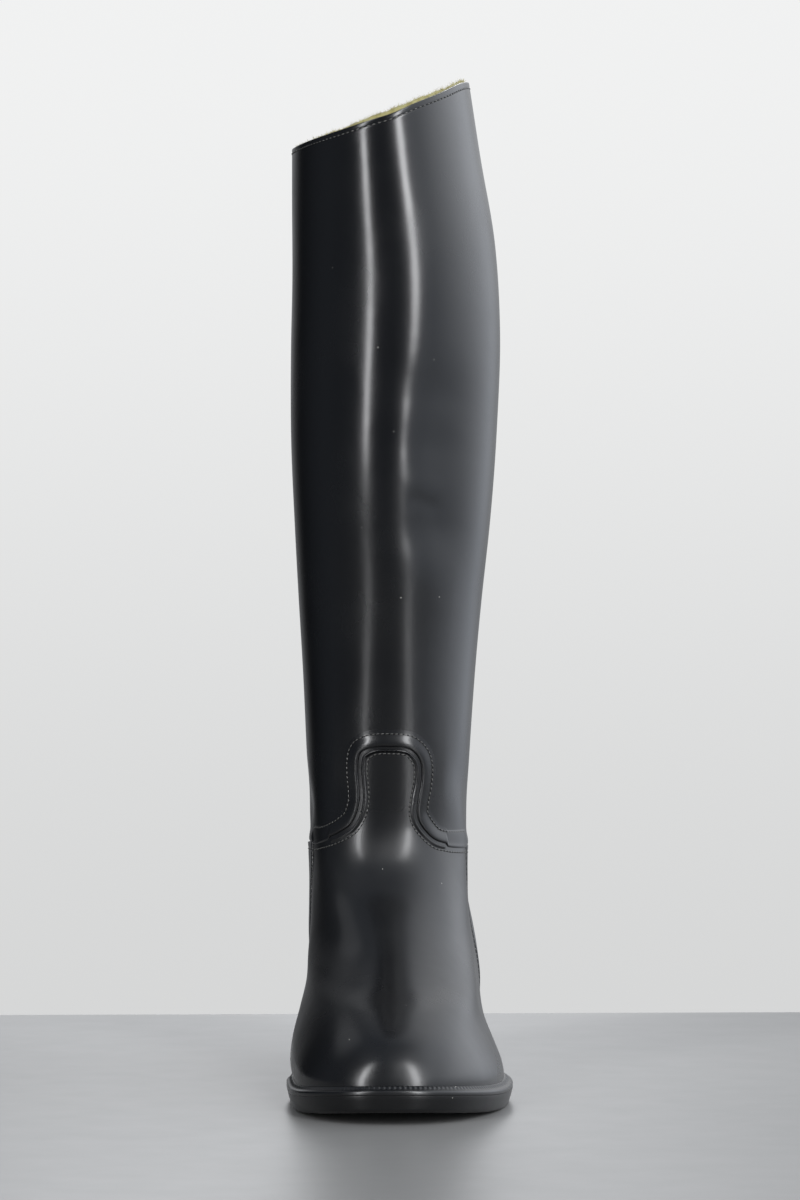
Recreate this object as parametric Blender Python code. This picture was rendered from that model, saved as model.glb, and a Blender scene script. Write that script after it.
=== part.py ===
"""Rubber riding boot for the left foot, standing empty on its sole.

Frame: +Z up, toe towards -Y, heel towards +Y, outer side of the leg towards +X.
Origin: centre of the boot's footprint, on the floor. Lengths below are millimetres.

A point of the boot is worked out in three steps. A table gives the sections of the last, from
the feather edge at the sole up to the collar. A section is a ring that crosses the front line
(toe, vamp, shin) and the back line (heel, calf). Any point of the outside is then named by its
ring and by how far it lies around that ring, and every piece is cut from that one function.
"""

import math
from collections import namedtuple

import bmesh
import bpy
from mathutils import Vector

MM = 0.001

# Driving sizes of the boot
BOOT_LENGTH = 282.0
WALL = 2.5
GAP = 0.3
OVERLAY_GAP = 0.35
WELT_WIDTH_FORE = 3.2
SOLE_EDGE_REAR = 1.8
WELT_HEIGHT = 3.4
WELT_LIP = 0.7
SOLE_EDGE_LEAN = 1.8
SOLE_EDGE_ROUND = 1.6
INSOLE_THICKNESS = 2.5
INSOLE_CLEARANCE = 1.2
HEEL_BREAST_ALONG = 207.0
HEEL_TAPER = 2.5
COUNTER_FRONT_ALONG = 168.0
COUNTER_TOP_HEIGHT = 105.0
COUNTER_FOOT_RISE = 1.2
COUNTER_THICKNESS = 1.2
COUNTER_GAP = 0.5
HEM_WIDTH = 7.0
HEM_THICKNESS = 0.9
HEM_EDGE_THICKNESS = 0.5
PIPING_INNER = 1.7
PIPING_WIDTH = 1.9
PIPING_HEIGHT = 0.9
PIPING_END_AROUND = 0.110

# How finely the pieces are cut
AROUND_STEPS = 40
WELT_END_STEP = 10
OUTLINE_STEPS = 30
HEEL_STEPS = 14
TIP_TURN = 0.03
COUNTER_STEPS_AROUND = 22
COUNTER_STEPS_UP = 8
SEAM_STEPS = 116
PIPING_STEPS = 64

# Shares of a ring, front to back, where its three half widths are given
BALL_SHARE = 0.30
MID_SHARE = 0.60
HEEL_SHARE = 0.85

# Sections of the last, floor to collar. Distances along the foot start at the sole's toe tip.
#   front_along, front_height  where the ring crosses toe, vamp and shin
#   back_along, back_height    where it crosses heel and calf
#   lean                       rise per millimetre towards the outer side
#   side_*                     middle of the ring, towards the outer side
#   half_*                     half width at ball, mid foot and heel
#   front_round, back_round    share of the ring taken by its rounded ends
#   front_power, back_power    2 is an ellipse, more is squarer
#   sole_follow                how much the ring follows the sole's toe spring and arch
#   steps                      rings cut from here to the next section
Section = namedtuple(
    "Section",
    "front_along front_height back_along back_height lean side_front side_ball side_mid side_heel "
    "half_ball half_mid half_heel front_round back_round front_power back_power sole_follow steps",
)
SECTIONS = {
    "feather":      Section(3.5, 14.0, 278.3, 26.1, 0, -5.0, -0.4, 2.5, 1.0,
                            47.2, 30.5, 32.0, 0.33, 0.17, 2.35, 2.30, 1.00, 2),
    "toe_wall":     Section(4.6, 21.2, 280.3, 38.0, 0, -5.0, -2.0, 1.0, 1.0,
                            47.1, 36.0, 34.4, 0.33, 0.18, 2.35, 2.25, 0.85, 2),
    "toe_shoulder": Section(8.2, 28.3, 280.6, 48.5, 0, -4.8, -3.5, 0.9, 0.8,
                            44.4, 38.0, 35.4, 0.34, 0.20, 2.30, 2.20, 0.60, 2),
    "toe_top":      Section(16.3, 36.2, 278.8, 58.5, 0, -4.4, -4.3, 0.4, 0.5,
                            40.5, 38.9, 35.6, 0.35, 0.22, 2.25, 2.15, 0.35, 2),
    "vamp_low":     Section(31.9, 44.6, 275.6, 67.8, 0, -3.9, -3.2, -0.2, 0.2,
                            38.6, 38.6, 35.4, 0.37, 0.25, 2.20, 2.10, 0.16, 2),
    "vamp_mid":     Section(54.5, 53.8, 271.4, 77.0, 0, -3.3, -2.9, -1.0, 0.0,
                            38.1, 37.8, 34.6, 0.40, 0.30, 2.12, 2.06, 0.05, 2),
    "vamp_high":    Section(78.5, 65.8, 266.4, 87.0, 0, -2.8, -2.6, -1.9, -0.8,
                            37.2, 36.4, 34.2, 0.43, 0.35, 2.06, 2.03, 0, 2),
    "instep_low":   Section(101.5, 79.5, 261.4, 98.5, 0, -4.2, -2.5, -2.9, -1.6,
                            36.6, 35.1, 34.2, 0.44, 0.40, 2.25, 2.01, 0, 3),
    "instep":       Section(118.6, 91.8, 257.2, 112.0, 0, -4.6, -2.4, -2.5, -2.2,
                            36.2, 35.9, 35.2, 0.46, 0.46, 2.50, 2.0, 0, 3),
    "ankle_front":  Section(131.8, 109.0, 254.2, 128.5, 0, -4.4, -2.4, -2.4, -2.4,
                            36.9, 36.8, 36.6, 0.48, 0.50, 2.50, 2.0, 0, 3),
    "ankle":        Section(133.4, 133.0, 252.8, 150.0, 0, -2.55, -2.55, -2.55, -2.55,
                            37.9, 37.9, 37.9, 0.50, 0.50, 2.35, 2.0, 0, 2),
    "shin_low":     Section(131.5, 187.0, 253.4, 184.0, 0, -2.0, -2.0, -2.0, -2.0,
                            40.3, 40.3, 40.3, 0.50, 0.50, 2.12, 2.0, 0, 1),
    "shin_mid":     Section(129.4, 224.0, 255.6, 222.0, 0, -1.35, -1.35, -1.35, -1.35,
                            42.8, 42.8, 42.8, 0.50, 0.50, 2.0, 2.0, 0, 1),
    "calf_low":     Section(126.9, 262.0, 258.4, 261.0, 0.01, -0.2, -0.2, -0.2, -0.2,
                            45.6, 45.6, 45.6, 0.50, 0.50, 2.0, 2.0, 0, 1),
    "calf":         Section(124.9, 301.0, 261.2, 302.0, 0.03, 0.5, 0.5, 0.5, 0.5,
                            48.1, 48.1, 48.1, 0.50, 0.50, 2.0, 2.0, 0, 1),
    "calf_high":    Section(123.6, 341.0, 262.8, 345.0, 0.08, 1.2, 1.2, 1.2, 1.2,
                            49.3, 49.3, 49.3, 0.50, 0.50, 2.0, 2.0, 0, 1),
    "knee_low":     Section(123.2, 379.0, 263.2, 387.0, 0.16, 0.3, 0.3, 0.3, 0.3,
                            47.9, 47.9, 47.9, 0.50, 0.50, 2.0, 2.0, 0, 1),
    "knee":         Section(123.4, 414.0, 262.8, 425.5, 0.26, -3.2, -3.2, -3.2, -3.2,
                            44.6, 44.6, 44.6, 0.50, 0.50, 2.0, 2.0, 0, 2),
    "collar":       Section(123.8, 443.6, 262.2, 459.0, 0.385, -6.0, -6.0, -6.0, -6.0,
                            41.8, 41.8, 41.8, 0.50, 0.50, 2.0, 2.0, 0, 0),
}

# The sole in side view: underside height and thickness along its length
SoleStation = namedtuple("SoleStation", "along bottom thickness")
SOLE_LINE = [
    SoleStation(0.0, 6.2, 7.6),
    SoleStation(20.0, 3.3, 7.8),
    SoleStation(42.0, 1.0, 7.8),
    SoleStation(62.0, 0.0, 7.8),
    SoleStation(118.0, 0.0, 7.8),
    SoleStation(142.0, 3.0, 7.4),
    SoleStation(166.0, 8.6, 6.8),
    SoleStation(188.0, 14.0, 6.4),
    SoleStation(207.0, 17.4, 6.4),
    SoleStation(240.0, 19.2, 6.4),
    SoleStation(BOOT_LENGTH, 19.6, 6.4),
]

# Lower edge of the shaft, a closed line: up over the tongue, out to the sides, level round the heel.
# around is the share of a ring: 0 at the shin, 0.25 outer side, 0.5 back, 0.75 inner side.
SeamPoint = namedtuple("SeamPoint", "around height")
SEAM = [
    SeamPoint(0.000, 155.5),
    SeamPoint(0.014, 155.2),
    SeamPoint(0.028, 153.9),
    SeamPoint(0.041, 150.4),
    SeamPoint(0.047, 145.5),
    SeamPoint(0.046, 138.5),
    SeamPoint(0.041, 131.2),
    SeamPoint(0.040, 124.0),
    SeamPoint(0.052, 118.3),
    SeamPoint(0.076, 113.2),
    SeamPoint(0.103, 110.9),
    SeamPoint(0.138, 109.5),
    SeamPoint(0.200, 108.3),
    SeamPoint(0.320, 106.8),
    SeamPoint(0.500, 106.4),
    SeamPoint(0.680, 107.6),
    SeamPoint(0.775, 109.6),
    SeamPoint(0.815, 110.4),
    SeamPoint(0.855, 111.7),
    SeamPoint(0.897, 114.4),
    SeamPoint(0.918, 116.5),
    SeamPoint(0.939, 120.3),
    SeamPoint(0.949, 128.0),
    SeamPoint(0.949, 135.0),
    SeamPoint(0.945, 144.5),
    SeamPoint(0.948, 151.6),
    SeamPoint(0.962, 154.5),
    SeamPoint(0.982, 155.5),
]

# Finishes; each piece has a material of its own, named after it
Finish = namedtuple("Finish", "kind colour roughness metallic")
BLACK_RUBBER = Finish("rubber", (0.020, 0.021, 0.024, 1.0), 0.32, 0.0)
SOLE_RUBBER = Finish("rubber", (0.018, 0.018, 0.020, 1.0), 0.45, 0.0)
INSOLE_CLOTH = Finish("cloth", (0.42, 0.37, 0.17, 1.0), 0.90, 0.0)
SMOOTH_BELOW = math.radians(35.0)


# Small maths

def mix(a, b, share):
    return a + (b - a) * share


def ease(low, high, value):
    """0 below low, 1 above high, smooth between."""
    t = min(1.0, max(0.0, (value - low) / (high - low)))
    return t * t * (3.0 - 2.0 * t)


def curve_through(values, place):
    """Smooth curve through evenly numbered values, read at a fractional number."""
    last = len(values) - 1
    index = min(int(place), last - 1)
    t = place - index
    p1, p2 = values[index], values[index + 1]
    p0 = values[index - 1] if index > 0 else p1 - (p2 - p1)
    p3 = values[index + 2] if index + 2 <= last else p2 + (p2 - p1)
    return 0.5 * (2 * p1 + (p2 - p0) * t + (2 * p0 - 5 * p1 + 4 * p2 - p3) * t * t
                  + (3 * p1 - p0 - 3 * p2 + p3) * t ** 3)


def steady_curve(places, values, place):
    """Smooth curve that keeps level stretches level and never overshoots."""
    index = max(i for i in range(len(places) - 1) if i == 0 or places[i] <= place)
    slopes = [(values[i + 1] - values[i]) / (places[i + 1] - places[i]) for i in range(len(places) - 1)]

    def tangent(i):
        if i == 0 or i == len(places) - 1:
            return slopes[min(i, len(slopes) - 1)]
        before, after = slopes[i - 1], slopes[i]
        return 0.0 if before * after <= 0 else 2 * before * after / (before + after)

    span = places[index + 1] - places[index]
    t = (place - places[index]) / span
    return (values[index] * (2 * t ** 3 - 3 * t * t + 1) + tangent(index) * span * (t ** 3 - 2 * t * t + t)
            + values[index + 1] * (3 * t * t - 2 * t ** 3) + tangent(index + 1) * span * (t ** 3 - t * t))


def solve(function, target, low, high):
    """Where a rising function reaches the target, by halving."""
    for _ in range(34):
        middle = (low + high) / 2
        if function(middle) < target:
            low = middle
        else:
            high = middle
    return (low + high) / 2


# The last: one function for the whole outside

ROWS = list(SECTIONS.values())
COLLAR_RING = len(ROWS) - 1


def section_at(ring):
    """The section at a fractional number, each of its values read from a smooth curve through the table."""
    return Section(*(curve_through(column, ring) for column in zip(*ROWS)))


def station(section, kind, share):
    """Half width or middle of a section at a share of its length."""
    ball, mid, heel = (getattr(section, f"{kind}_{name}") for name in ("ball", "mid", "heel"))
    rear = mix(mid, heel, ease(MID_SHARE, HEEL_SHARE, share))
    return mix(ball, rear, ease(BALL_SHARE, MID_SHARE, share))


def rounded_end(distance, length, power):
    """Superellipse end: 0 at the tip, 1 where the straight side begins."""
    if distance >= length:
        return 1.0
    return max(0.0, 1.0 - (1.0 - distance / length) ** power) ** (1.0 / power)


def ring_flat(section, turn):
    """Side, along and share on a section; turn is 0 at the front, pi at the back, then the inner side."""
    share = (1.0 - math.cos(turn)) / 2.0
    outer_side = 1.0 if math.sin(turn) >= 0 else -1.0
    half = station(section, "half", share)
    half *= rounded_end(share, section.front_round, section.front_power)
    half *= rounded_end(1.0 - share, section.back_round, section.back_power)
    middle = mix(section.side_front, station(section, "side", share), ease(0.0, BALL_SHARE, share))
    return middle + outer_side * half, mix(section.front_along, section.back_along, share), share


def sole_bottom(along):
    places = [s.along for s in SOLE_LINE]
    return steady_curve(places, [s.bottom for s in SOLE_LINE], min(max(along, 0.0), BOOT_LENGTH))


def sole_top(along):
    places = [s.along for s in SOLE_LINE]
    inside = min(max(along, 0.0), BOOT_LENGTH)
    return sole_bottom(along) + steady_curve(places, [s.thickness for s in SOLE_LINE], inside)


def outside(ring, around):
    """A point of the upper: ring 0 is the feather edge; around is 0 front, 0.25 outer, 0.5 back."""
    section = section_at(min(max(ring, 0.0), COLLAR_RING))
    side, along, share = ring_flat(section, 2.0 * math.pi * around)
    level = mix(section.front_height, section.back_height, share)
    feather = ROWS[0]
    sole_dip = sole_top(along) + GAP - mix(feather.front_height, feather.back_height, share)
    middle = mix(section.side_front, section.side_heel, share)
    height = level + section.sole_follow * sole_dip + section.lean * (side - middle)
    return Vector((side, along, height))


def slopes(ring, around):
    """Directions of the outside along the ring's number and around it."""
    small_ring, small_around = 0.02, 0.0015
    low, high = max(ring - small_ring, 0.0), min(ring + small_ring, float(COLLAR_RING))
    up = (outside(high, around) - outside(low, around)) / (high - low)
    about = outside(ring, around + small_around) - outside(ring, around - small_around)
    about /= 2.0 * small_around
    return up, about


def normal(ring, around, level=False):
    """Outward direction; level keeps it in the horizontal plane."""
    up, about = slopes(ring, around)
    out = about.cross(up)
    if level:
        out.z = 0.0
    return out.normalized()


def ring_at_height(around, height):
    return solve(lambda ring: outside(ring, around).z, height, 0.0, float(COLLAR_RING))


def raised(ring, around, rise):
    return outside(ring, around) + normal(ring, around) * rise


# The sole's outline, grown from the feather edge

def outline(turn, grow):
    """Side and along of the feather outline, moved outwards by grow."""
    small = 0.004
    section = ROWS[0]
    before, after = ring_flat(section, turn - small), ring_flat(section, turn + small)
    run_side, run_along = after[0] - before[0], after[1] - before[1]
    length = math.hypot(run_side, run_along)
    side, along, _ = ring_flat(section, turn)
    return side + grow * run_along / length, along - grow * run_side / length


def sole_edge(turn):
    """How far the sole stands out past the upper: a welt in front, less at waist and heel."""
    share = (1.0 - math.cos(turn)) / 2.0
    return mix(WELT_WIDTH_FORE, SOLE_EDGE_REAR, ease(0.42, 0.62, share))


def sole_side_centre():
    """Middle between the sole's widest points, which goes on the frame's X = 0."""
    turns = [2.0 * math.pi * step / 360 for step in range(360)]
    sides = [outline(turn, sole_edge(turn))[0] for turn in turns]
    return (max(sides) + min(sides)) / 2.0


SIDE_CENTRE = sole_side_centre()


def in_frame(point):
    side, along, height = point
    return Vector((side - SIDE_CENTRE, along - BOOT_LENGTH / 2.0, height)) * MM


# Solids

def make_material(piece_name, finish):
    material = bpy.data.materials.new(f"{piece_name}_{finish.kind}")
    material.use_nodes = True
    shader = material.node_tree.nodes["Principled BSDF"]
    shader.inputs["Base Color"].default_value = finish.colour
    shader.inputs["Roughness"].default_value = finish.roughness
    shader.inputs["Metallic"].default_value = finish.metallic
    material.diffuse_color = finish.colour
    return material


def sweep(name, stations, closed, finish):
    """One closed solid through stations; a station is two equal rows of points, outer and inner skin."""
    mesh_builder = bmesh.new()
    loops = []
    for outer, inner in stations:
        points = list(outer) + list(reversed(inner))
        loops.append([mesh_builder.verts.new(in_frame(point)) for point in points])
    size = len(loops[0])
    pairs = list(zip(loops, loops[1:]))
    if closed:
        pairs.append((loops[-1], loops[0]))
    for here, there in pairs:
        for k in range(size):
            following = (k + 1) % size
            mesh_builder.faces.new((here[k], here[following], there[following], there[k]))
    if not closed:
        for loop in (loops[0], loops[-1]):
            for k in range(size // 2 - 1):
                mesh_builder.faces.new((loop[k], loop[k + 1], loop[size - 2 - k], loop[size - 1 - k]))
    bmesh.ops.recalc_face_normals(mesh_builder, faces=mesh_builder.faces)
    bmesh.ops.triangulate(mesh_builder, faces=mesh_builder.faces)
    mesh = bpy.data.meshes.new(name)
    mesh_builder.to_mesh(mesh)
    mesh_builder.free()
    mesh.shade_smooth()
    mesh.set_sharp_from_angle(angle=SMOOTH_BELOW)
    mesh.materials.append(make_material(name, finish))
    piece = bpy.data.objects.new(name, mesh)
    bpy.context.collection.objects.link(piece)
    return piece


def ring_numbers():
    """Numbers of the rings that are cut, closer together over the instep."""
    numbers = []
    for index, row in enumerate(ROWS[:-1]):
        numbers += [index + step / row.steps for step in range(row.steps)]
    return numbers + [float(COLLAR_RING)]


def upper():
    """The hollow rubber upper, foot and shaft in one, open at the collar and underneath."""
    rings = ring_numbers()
    stations = []
    for step in range(AROUND_STEPS):
        around = step / AROUND_STEPS
        outer = [outside(ring, around) for ring in rings]
        inner = []
        for ring, point in zip(rings, outer):
            at_an_edge = ring in (rings[0], rings[-1])
            inner.append(point - normal(ring, around, level=at_an_edge) * WALL)
        stations.append((outer, inner))
    return sweep("upper", stations, True, BLACK_RUBBER)


def sole_turns(first, last, steps):
    return [mix(first, last, step / steps) for step in range(steps + 1)]


WHOLE_SOLE = sole_turns(TIP_TURN, math.pi - TIP_TURN, OUTLINE_STEPS)


def across(turn, edges):
    """Points across the sole from the outer side to the inner side, at the given edges and heights."""
    outer_half, inner_half = [], []
    for grow, width_share, height in edges:
        outer, inner = outline(turn, grow(turn)), outline(-turn, grow(turn))
        middle = (outer[0] + inner[0]) / 2.0
        outer_half.append((mix(middle, outer[0], width_share), outer[1], height(outer[1])))
        inner_half.append((mix(middle, inner[0], width_share), inner[1], height(inner[1])))
    return outer_half + inner_half[::-1]


def plate(name, turns, top, bottom, finish):
    """A solid across the sole's outline. An edge is (how far out, share of the width, height along)."""
    stations = [(across(turn, top), across(turn, bottom)) for turn in turns]
    return sweep(name, stations, False, finish)


def outsole():
    """Outsole with toe spring, flat tread under the ball, arch and heel seat; its edge leans in."""
    def bottom_edge(turn):
        return sole_edge(turn) - SOLE_EDGE_LEAN

    def tread_edge(turn):
        return sole_edge(turn) - SOLE_EDGE_LEAN - SOLE_EDGE_ROUND

    top = [(sole_edge, 1.0, sole_top), (sole_edge, 0.75, sole_top)]
    bottom = [(bottom_edge, 1.0, lambda along: sole_bottom(along) + SOLE_EDGE_ROUND),
              (tread_edge, 1.0, sole_bottom)]
    return plate("outsole", WHOLE_SOLE, top, bottom, SOLE_RUBBER)


def heel():
    """Heel block under the heel seat, its breast across the arch and its sides tapering to the floor."""
    def seat_edge(turn):
        return sole_edge(turn) - SOLE_EDGE_LEAN

    def floor_edge(turn):
        return seat_edge(turn) - HEEL_TAPER

    breast = solve(lambda turn: outline(turn, 0.0)[1], HEEL_BREAST_ALONG, 0.5, math.pi)
    top = [(seat_edge, 1.0, lambda along: sole_bottom(along) - GAP)]
    bottom = [(floor_edge, 1.0, lambda along: 0.0)]
    turns = sole_turns(breast, math.pi - TIP_TURN, HEEL_STEPS)
    return plate("heel", turns, top, bottom, SOLE_RUBBER)


def insole():
    """Cloth-faced insole lying on the outsole inside the upper."""
    def edge(turn):
        return -WALL - INSOLE_CLEARANCE

    top = [(edge, 1.0, lambda along: sole_top(along) + GAP + INSOLE_THICKNESS)]
    bottom = [(edge, 1.0, lambda along: sole_top(along) + GAP)]
    return plate("insole", WHOLE_SOLE, top, bottom, INSOLE_CLOTH)


def welt():
    """Sloping welt on the outsole, round the forepart from waist to waist, cut where the upper is cut."""
    stations = []
    for step in range(-WELT_END_STEP, WELT_END_STEP + 1):
        around = step / AROUND_STEPS
        turn = 2.0 * math.pi * around
        foot = outside(0.0, around)
        crest_ring = ring_at_height(around, foot.z + WELT_HEIGHT)
        inner_foot = foot + normal(0.0, around, level=True) * GAP
        inner_crest = raised(crest_ring, around, GAP)
        side, along = outline(turn, sole_edge(turn))
        outer_foot = Vector((side, along, sole_top(along) + GAP))
        outer_lip = outer_foot + Vector((0.0, 0.0, WELT_LIP))
        stations.append(([inner_crest, outer_lip], [inner_foot, outer_foot]))
    return sweep("welt", stations, False, BLACK_RUBBER)


def heel_counter():
    """Stiffener laid round the heel, from one side seam to the other and up to the ankle."""
    def side_seam(height, low, high):
        def along(around):
            return outside(ring_at_height(around, height), around).y
        return solve(along, COUNTER_FRONT_ALONG, low, high)

    foot_height = sole_top(COUNTER_FRONT_ALONG) + GAP + COUNTER_FOOT_RISE
    seams = []
    for step in range(COUNTER_STEPS_UP + 1):
        height = mix(foot_height, COUNTER_TOP_HEIGHT, step / COUNTER_STEPS_UP)
        seams.append(side_seam(height, 0.12, 0.42))
    stations = []
    for step in range(COUNTER_STEPS_AROUND + 1):
        outer, inner = [], []
        for up_step, seam in enumerate(seams):
            around = mix(seam, 1.0 - seam, step / COUNTER_STEPS_AROUND)
            foot = outside(0.0, around).z + COUNTER_FOOT_RISE
            ring = ring_at_height(around, mix(foot, COUNTER_TOP_HEIGHT, up_step / COUNTER_STEPS_UP))
            outer.append(raised(ring, around, COUNTER_GAP + COUNTER_THICKNESS))
            inner.append(raised(ring, around, COUNTER_GAP))
        stations.append((outer, inner))
    return sweep("heel_counter", stations, False, BLACK_RUBBER)


# The seam between shaft and foot

def seam_place(share):
    """Around and ring of the seam; share runs 0 at the shin, round the outer side and back to 1."""
    count = len(SEAM)
    place = (share % 1.0) * count
    first = int(place)
    near = [SEAM[(first + k) % count] for k in (-1, 0, 1, 2)]
    laps = [(first + k) // count for k in (-1, 0, 1, 2)]
    around = curve_through([point.around + lap for point, lap in zip(near, laps)], 1.0 + place - first)
    height = curve_through([point.height for point in near], 1.0 + place - first)
    return around % 1.0, ring_at_height(around % 1.0, height)


def seam_station(share, offsets):
    """Points beside the seam; an offset is (distance towards the shaft, rise off the upper)."""
    around, ring = seam_place(share)
    ahead, behind = seam_place((share + 0.002) % 1.0), seam_place((share - 0.002) % 1.0)
    up, about = slopes(ring, around)
    step_around = ahead[0] - behind[0]
    step_around -= round(step_around)
    tangent = about * step_around + up * (ahead[1] - behind[1])
    towards_shaft = about.cross(up).normalized().cross(tangent).normalized()
    e, f, g = about.dot(about), about.dot(up), up.dot(up)
    a, b = towards_shaft.dot(about), towards_shaft.dot(up)
    per_around = (a * g - b * f) / (e * g - f * f)
    per_ring = (b * e - a * f) / (e * g - f * f)
    return [raised(ring + per_ring * away, around + per_around * away, rise) for away, rise in offsets]


def seam_shares(first, last, steps):
    """Shares along the seam that cut it into nearly equal lengths."""
    fine = [mix(first, last, step / 400) for step in range(401)]
    points = [outside(*reversed(seam_place(share % 1.0))) for share in fine]
    run = [0.0]
    for here, there in zip(points, points[1:]):
        run.append(run[-1] + (there - here).length)
    shares = []
    index = 0
    for step in range(steps + 1):
        target = run[-1] * step / steps
        while index < 399 and run[index + 1] < target:
            index += 1
        part_way = (target - run[index]) / (run[index + 1] - run[index])
        shares.append(mix(fine[index], fine[index + 1], part_way) % 1.0)
    return shares


def ankle_hem():
    """Raised hem along the lower edge of the shaft, all the way round."""
    skin = [(0.0, OVERLAY_GAP + HEM_THICKNESS), (HEM_WIDTH / 2, OVERLAY_GAP + HEM_THICKNESS),
            (HEM_WIDTH, OVERLAY_GAP + HEM_EDGE_THICKNESS)]
    back = [(away, OVERLAY_GAP) for away, _ in skin]
    shares = seam_shares(0.0, 1.0, SEAM_STEPS)[:-1]
    stations = [(seam_station(share, skin), seam_station(share, back)) for share in shares]
    return sweep("ankle_hem", stations, True, BLACK_RUBBER)


def tongue_piping():
    """Raised cord just inside the hem, along the edge of the tongue."""
    near, far = -PIPING_INNER, -PIPING_INNER - PIPING_WIDTH
    skin = [(far, OVERLAY_GAP + PIPING_HEIGHT), (near, OVERLAY_GAP + PIPING_HEIGHT)]
    back = [(far, OVERLAY_GAP), (near, OVERLAY_GAP)]
    outer_end = solve(lambda share: seam_place(share)[0], PIPING_END_AROUND, 0.3, 0.5)
    inner_end = solve(lambda share: seam_place(share)[0], 1.0 - PIPING_END_AROUND, 0.5, 0.7)
    shares = seam_shares(inner_end - 1.0, outer_end, PIPING_STEPS)
    stations = [(seam_station(share, skin), seam_station(share, back)) for share in shares]
    return sweep("tongue_piping", stations, False, BLACK_RUBBER)


for leftover in list(bpy.data.objects):
    bpy.data.objects.remove(leftover, do_unlink=True)

PIECES = [outsole(), heel(), insole(), welt(), upper(), heel_counter(), ankle_hem(), tongue_piping()]
for made in PIECES:
    print(made.name, "triangles:", len(made.data.polygons))
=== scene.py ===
# %% [markdown]
# # A rubber riding boot, dressed
# A tall riding boot of moulded black rubber, for the left foot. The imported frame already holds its
# solids at their real size, and this lesson gives them their finish: a creased, glossy skin, a puffy
# ankle hem, imitation stitching, a toothed welt, a worn sole and a cotton lining with a raw edge.
# The frame comes first, because every later piece has to stay where its solid is.

# %% Load the frame
import math
import random
from collections import namedtuple

import bmesh
import bpy
import numpy as np
from mathutils import Matrix, Vector


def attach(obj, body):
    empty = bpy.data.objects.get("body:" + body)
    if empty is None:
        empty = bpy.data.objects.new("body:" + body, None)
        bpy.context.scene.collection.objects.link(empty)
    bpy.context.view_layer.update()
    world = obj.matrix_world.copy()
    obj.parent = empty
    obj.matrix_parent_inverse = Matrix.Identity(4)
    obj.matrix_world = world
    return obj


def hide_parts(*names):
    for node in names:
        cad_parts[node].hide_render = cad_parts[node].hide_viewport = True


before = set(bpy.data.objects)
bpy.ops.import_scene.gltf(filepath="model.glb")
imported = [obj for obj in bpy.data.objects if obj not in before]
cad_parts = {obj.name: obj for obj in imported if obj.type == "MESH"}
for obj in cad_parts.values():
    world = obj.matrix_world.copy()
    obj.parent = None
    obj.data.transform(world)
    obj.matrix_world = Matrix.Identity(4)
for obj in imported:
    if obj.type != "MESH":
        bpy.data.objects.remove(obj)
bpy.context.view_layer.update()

print("frame nodes:", ", ".join(sorted(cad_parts)))

# %% [markdown]
# ## The last
# A shoemaker shapes a boot over a last. Here the last is a table of sections, from the feather edge at
# the sole up to the collar. Each row is a ring that crosses the front line (toe, vamp, shin) and the
# back line (heel, calf). The shaft's rings are near ellipses, so a short function fills their rows in.
# A sculpted mesh would also do, but a table lets every seam and stitch ask for its place on the skin.
# Lengths are millimetres: along runs from the toe tip to the heel, side towards the outer side.

# %% The sections of the last
MM = 0.001
BOOT_LENGTH = 282.0
WALL = 2.5
SIDE_SHIFT = 0.398
COLUMNS = ("front_along front_height back_along back_height lean side_front side_ball side_mid side_heel "
           "half_ball half_mid half_heel front_round back_round front_power back_power sole_follow").split()


def shaft_row(front_along, front_height, back_along, back_height, lean, side, half, front_power=2.0):
    """A round ring of the shaft: one middle, one half width, its front blunter with more front_power."""
    return (front_along, front_height, back_along, back_height, lean, side, side, side, side,
            half, half, half, 0.5, 0.5, front_power, 2.0, 0.0)


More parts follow.
